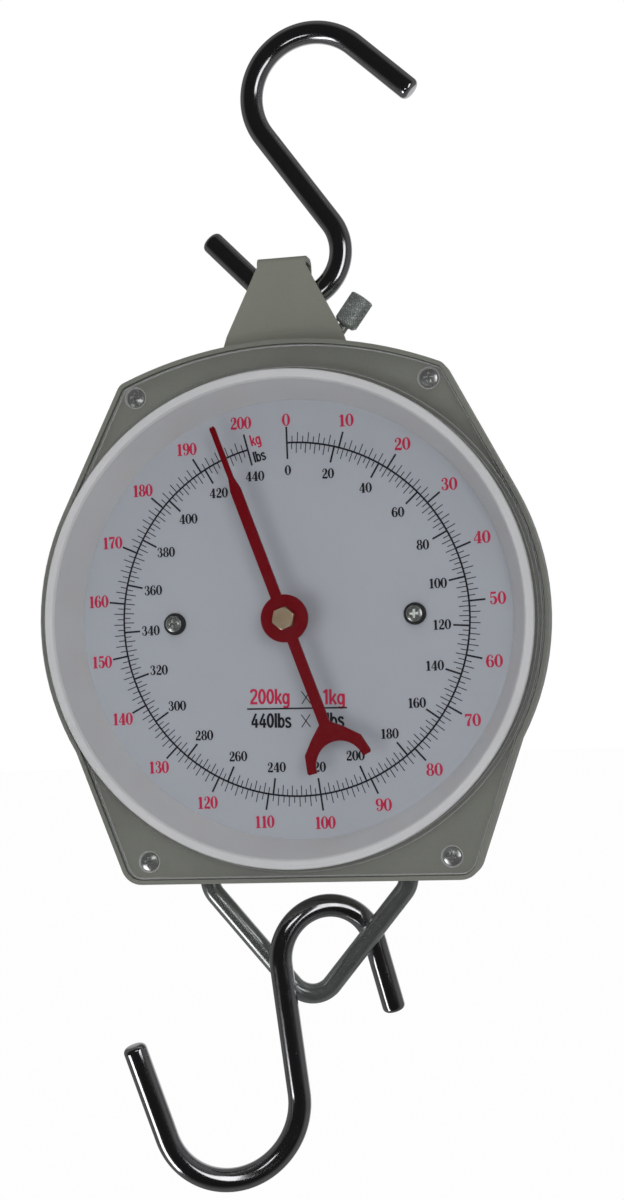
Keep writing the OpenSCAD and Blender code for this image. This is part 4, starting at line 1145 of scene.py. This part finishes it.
@dataclass
class Studio:
    """The floor, the lamps, the pale surroundings and the camera."""

    floor_y: float = 0.2
    floor_z: float = -1.9
    floor_r: float = 30.0
    floor_sides: int = 64
    floor_glow: float = 0.98
    fill: float = 0.34
    room_front: float = 0.012
    room_side: float = 0.11
    room_back: float = 0.55
    aim: Vector = Vector((-0.02, 0.0, -0.27))
    lens: float = 57.36
    sensor: float = 36.0
    camera_place: Vector = Vector((174.98, -897.46, -296.67)) * MM
    camera_way: Vector = Vector((-0.20231, 0.97883, 0.03094))
    camera_up: Vector = Vector((0.04534, -0.02220, 0.99872))

    LAMPS = (
        Lamp("front_lamp", (-0.10, -0.60, -0.37), (0.24, 0.24), 0.95),
        Lamp("right_lamp", (0.62, -1.8, -0.06), (0.5, 0.5), 8.0),
        Lamp("top_lamp", (-0.1, -0.9, 1.3), (0.9, 0.6), 3.0),
        Lamp("near_gleam", (0.02, -0.34, -0.25), (0.17, 0.07), 0.06, sheen=True),
        Lamp("right_gleam", (0.60, -0.50, -0.18), (0.28, 0.62), 0.85, sheen=True),
        Lamp("left_gleam", (-0.62, -0.45, -1.08), (0.34, 0.74), 2.1, sheen=True),
        Lamp("back_lamp", (0.4, 1.9, 0.5), (0.8, 0.8), 16.0),
    )

    def world(self) -> None:
        """Makes the surroundings: white where seen, plain light on the object, a dark room in front."""
        world = bpy.data.worlds.new("studio")
        world.use_nodes = True
        bpy.context.scene.world = world
        tree = Tree(world.node_tree)
        way = tree.signal("ShaderNodeTexCoord", "Generated")
        back = tree.signal("ShaderNodeSeparateXYZ", "Y", {}, {"Vector": way})
        room = back.between(0.75, 0.95) * self.room_back + back.between(-0.45, 0.05) * self.room_side
        room = room + self.room_front
        seen, glossy = tree.rays("Camera", "Transmission"), tree.rays("Glossy")
        level = seen + (1 - seen) * (glossy * room + (1 - glossy) * self.fill)
        shade = tree.node("ShaderNodeBackground", {}, {"Color": (1, 1, 1, 1), "Strength": level})
        out = tree.node("ShaderNodeOutputWorld")
        tree.tree.links.new(shade.outputs[0], out.inputs["Surface"])

    def floor(self) -> None:
        """Lays a pale floor that keeps the object's shadow."""
        piece = Piece("studio_floor")
        middle, count = Vector((0, self.floor_y, self.floor_z)), self.floor_sides
        rim = [middle + Vector((*turned(self.floor_r, 0, 360 * k / count), 0)) for k in range(count)]
        piece.add([middle, *rim], [(0, 1 + k, 1 + (k + 1) % count) for k in range(count)])
        tree = SurfaceTree("pale_floor", Base_Color=(0.9, 0.9, 0.9, 1.0), Roughness=0.9)
        seen = tree.rays("Camera", "Glossy", "Transmission")
        glow = tree.node("ShaderNodeEmission", {}, {"Color": (1, 1, 1, 1), "Strength": 1.0})
        mix = tree.node("ShaderNodeMixShader", {}, {"Fac": seen * self.floor_glow})
        tree.tree.links.new(tree.shader.outputs[0], mix.inputs[1])
        tree.tree.links.new(glow.outputs[0], mix.inputs[2])
        tree.tree.links.new(mix.outputs[0], tree.output.inputs["Surface"])
        floor = piece.make(tree.material)
        floor.visible_glossy = False

    def camera(self) -> None:
        """Sets the camera where the photograph was taken from."""
        look = self.camera_way.normalized()
        side = look.cross(self.camera_up.normalized()).normalized()
        up = side.cross(look)
        camera = bpy.data.objects.new("camera", bpy.data.cameras.new("camera"))
        camera.data.lens = self.lens
        camera.data.sensor_width = self.sensor
        turn = Matrix((side, up, -look)).transposed().to_4x4()
        camera.matrix_world = Matrix.Translation(self.camera_place) @ turn
        bpy.context.scene.collection.objects.link(camera)
        bpy.context.scene.camera = camera

    def build(self) -> None:
        """Sets up the studio."""
        bpy.context.scene.view_settings.view_transform = "Standard"
        self.world()
        self.floor()
        for lamp in self.LAMPS:
            lamp.hang(self.aim)
        self.camera()


def main() -> None:
    """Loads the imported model, dresses it and sets up the studio."""
    logging.basicConfig(level=logging.INFO, format="%(name)s: %(message)s")
    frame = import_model()
    Studio().build()
    Fittings().build(frame["nodes"])
    parts = [
        Hook("upper_s_hook", "top_hook", "upper_hook", eye_r=23.2, bar_r=30.6, shank=54.5, tail=35.5,
             tip=37.0, turn=-35.0, yaw=0.0, place=Vector((4.8, LOAD_Y, 176.6))),
        Hook("load_s_hook", "load_hook", "lower_hook", eye_r=24.1, bar_r=33.2, shank=60.6, tail=36.0,
             tip=46.0, turn=174.0, yaw=29.962, place=Vector((8.5, LOAD_Y, -161.1))),
        Bail(),
        ClearCover(frame["nodes"]["clear_cover"]),
        *(CoilSpring(f"coil_spring_{side}", f"main_spring_{side}", x=x, top_z=58.8, bottom_z=-82.8,
                     top_leg=7.4, bottom_leg=7.4, wire=4.0, coil_d=13.0)
          for side, x in (("left", -32.0), ("right", 32.0))),
        CoilSpring("zero_coil_spring", "zero_spring", x=7.368, top_z=86.08, bottom_z=37.972, top_leg=6.2,
                   bottom_leg=8.2, wire=0.76, coil_d=3.4, quarter_turned=True, steps=16, sides=8),
        ThumbScrew(),
        DialPrint(),
    ]
    for part in parts:
        part.build()


if __name__ == "__main__":
    main()
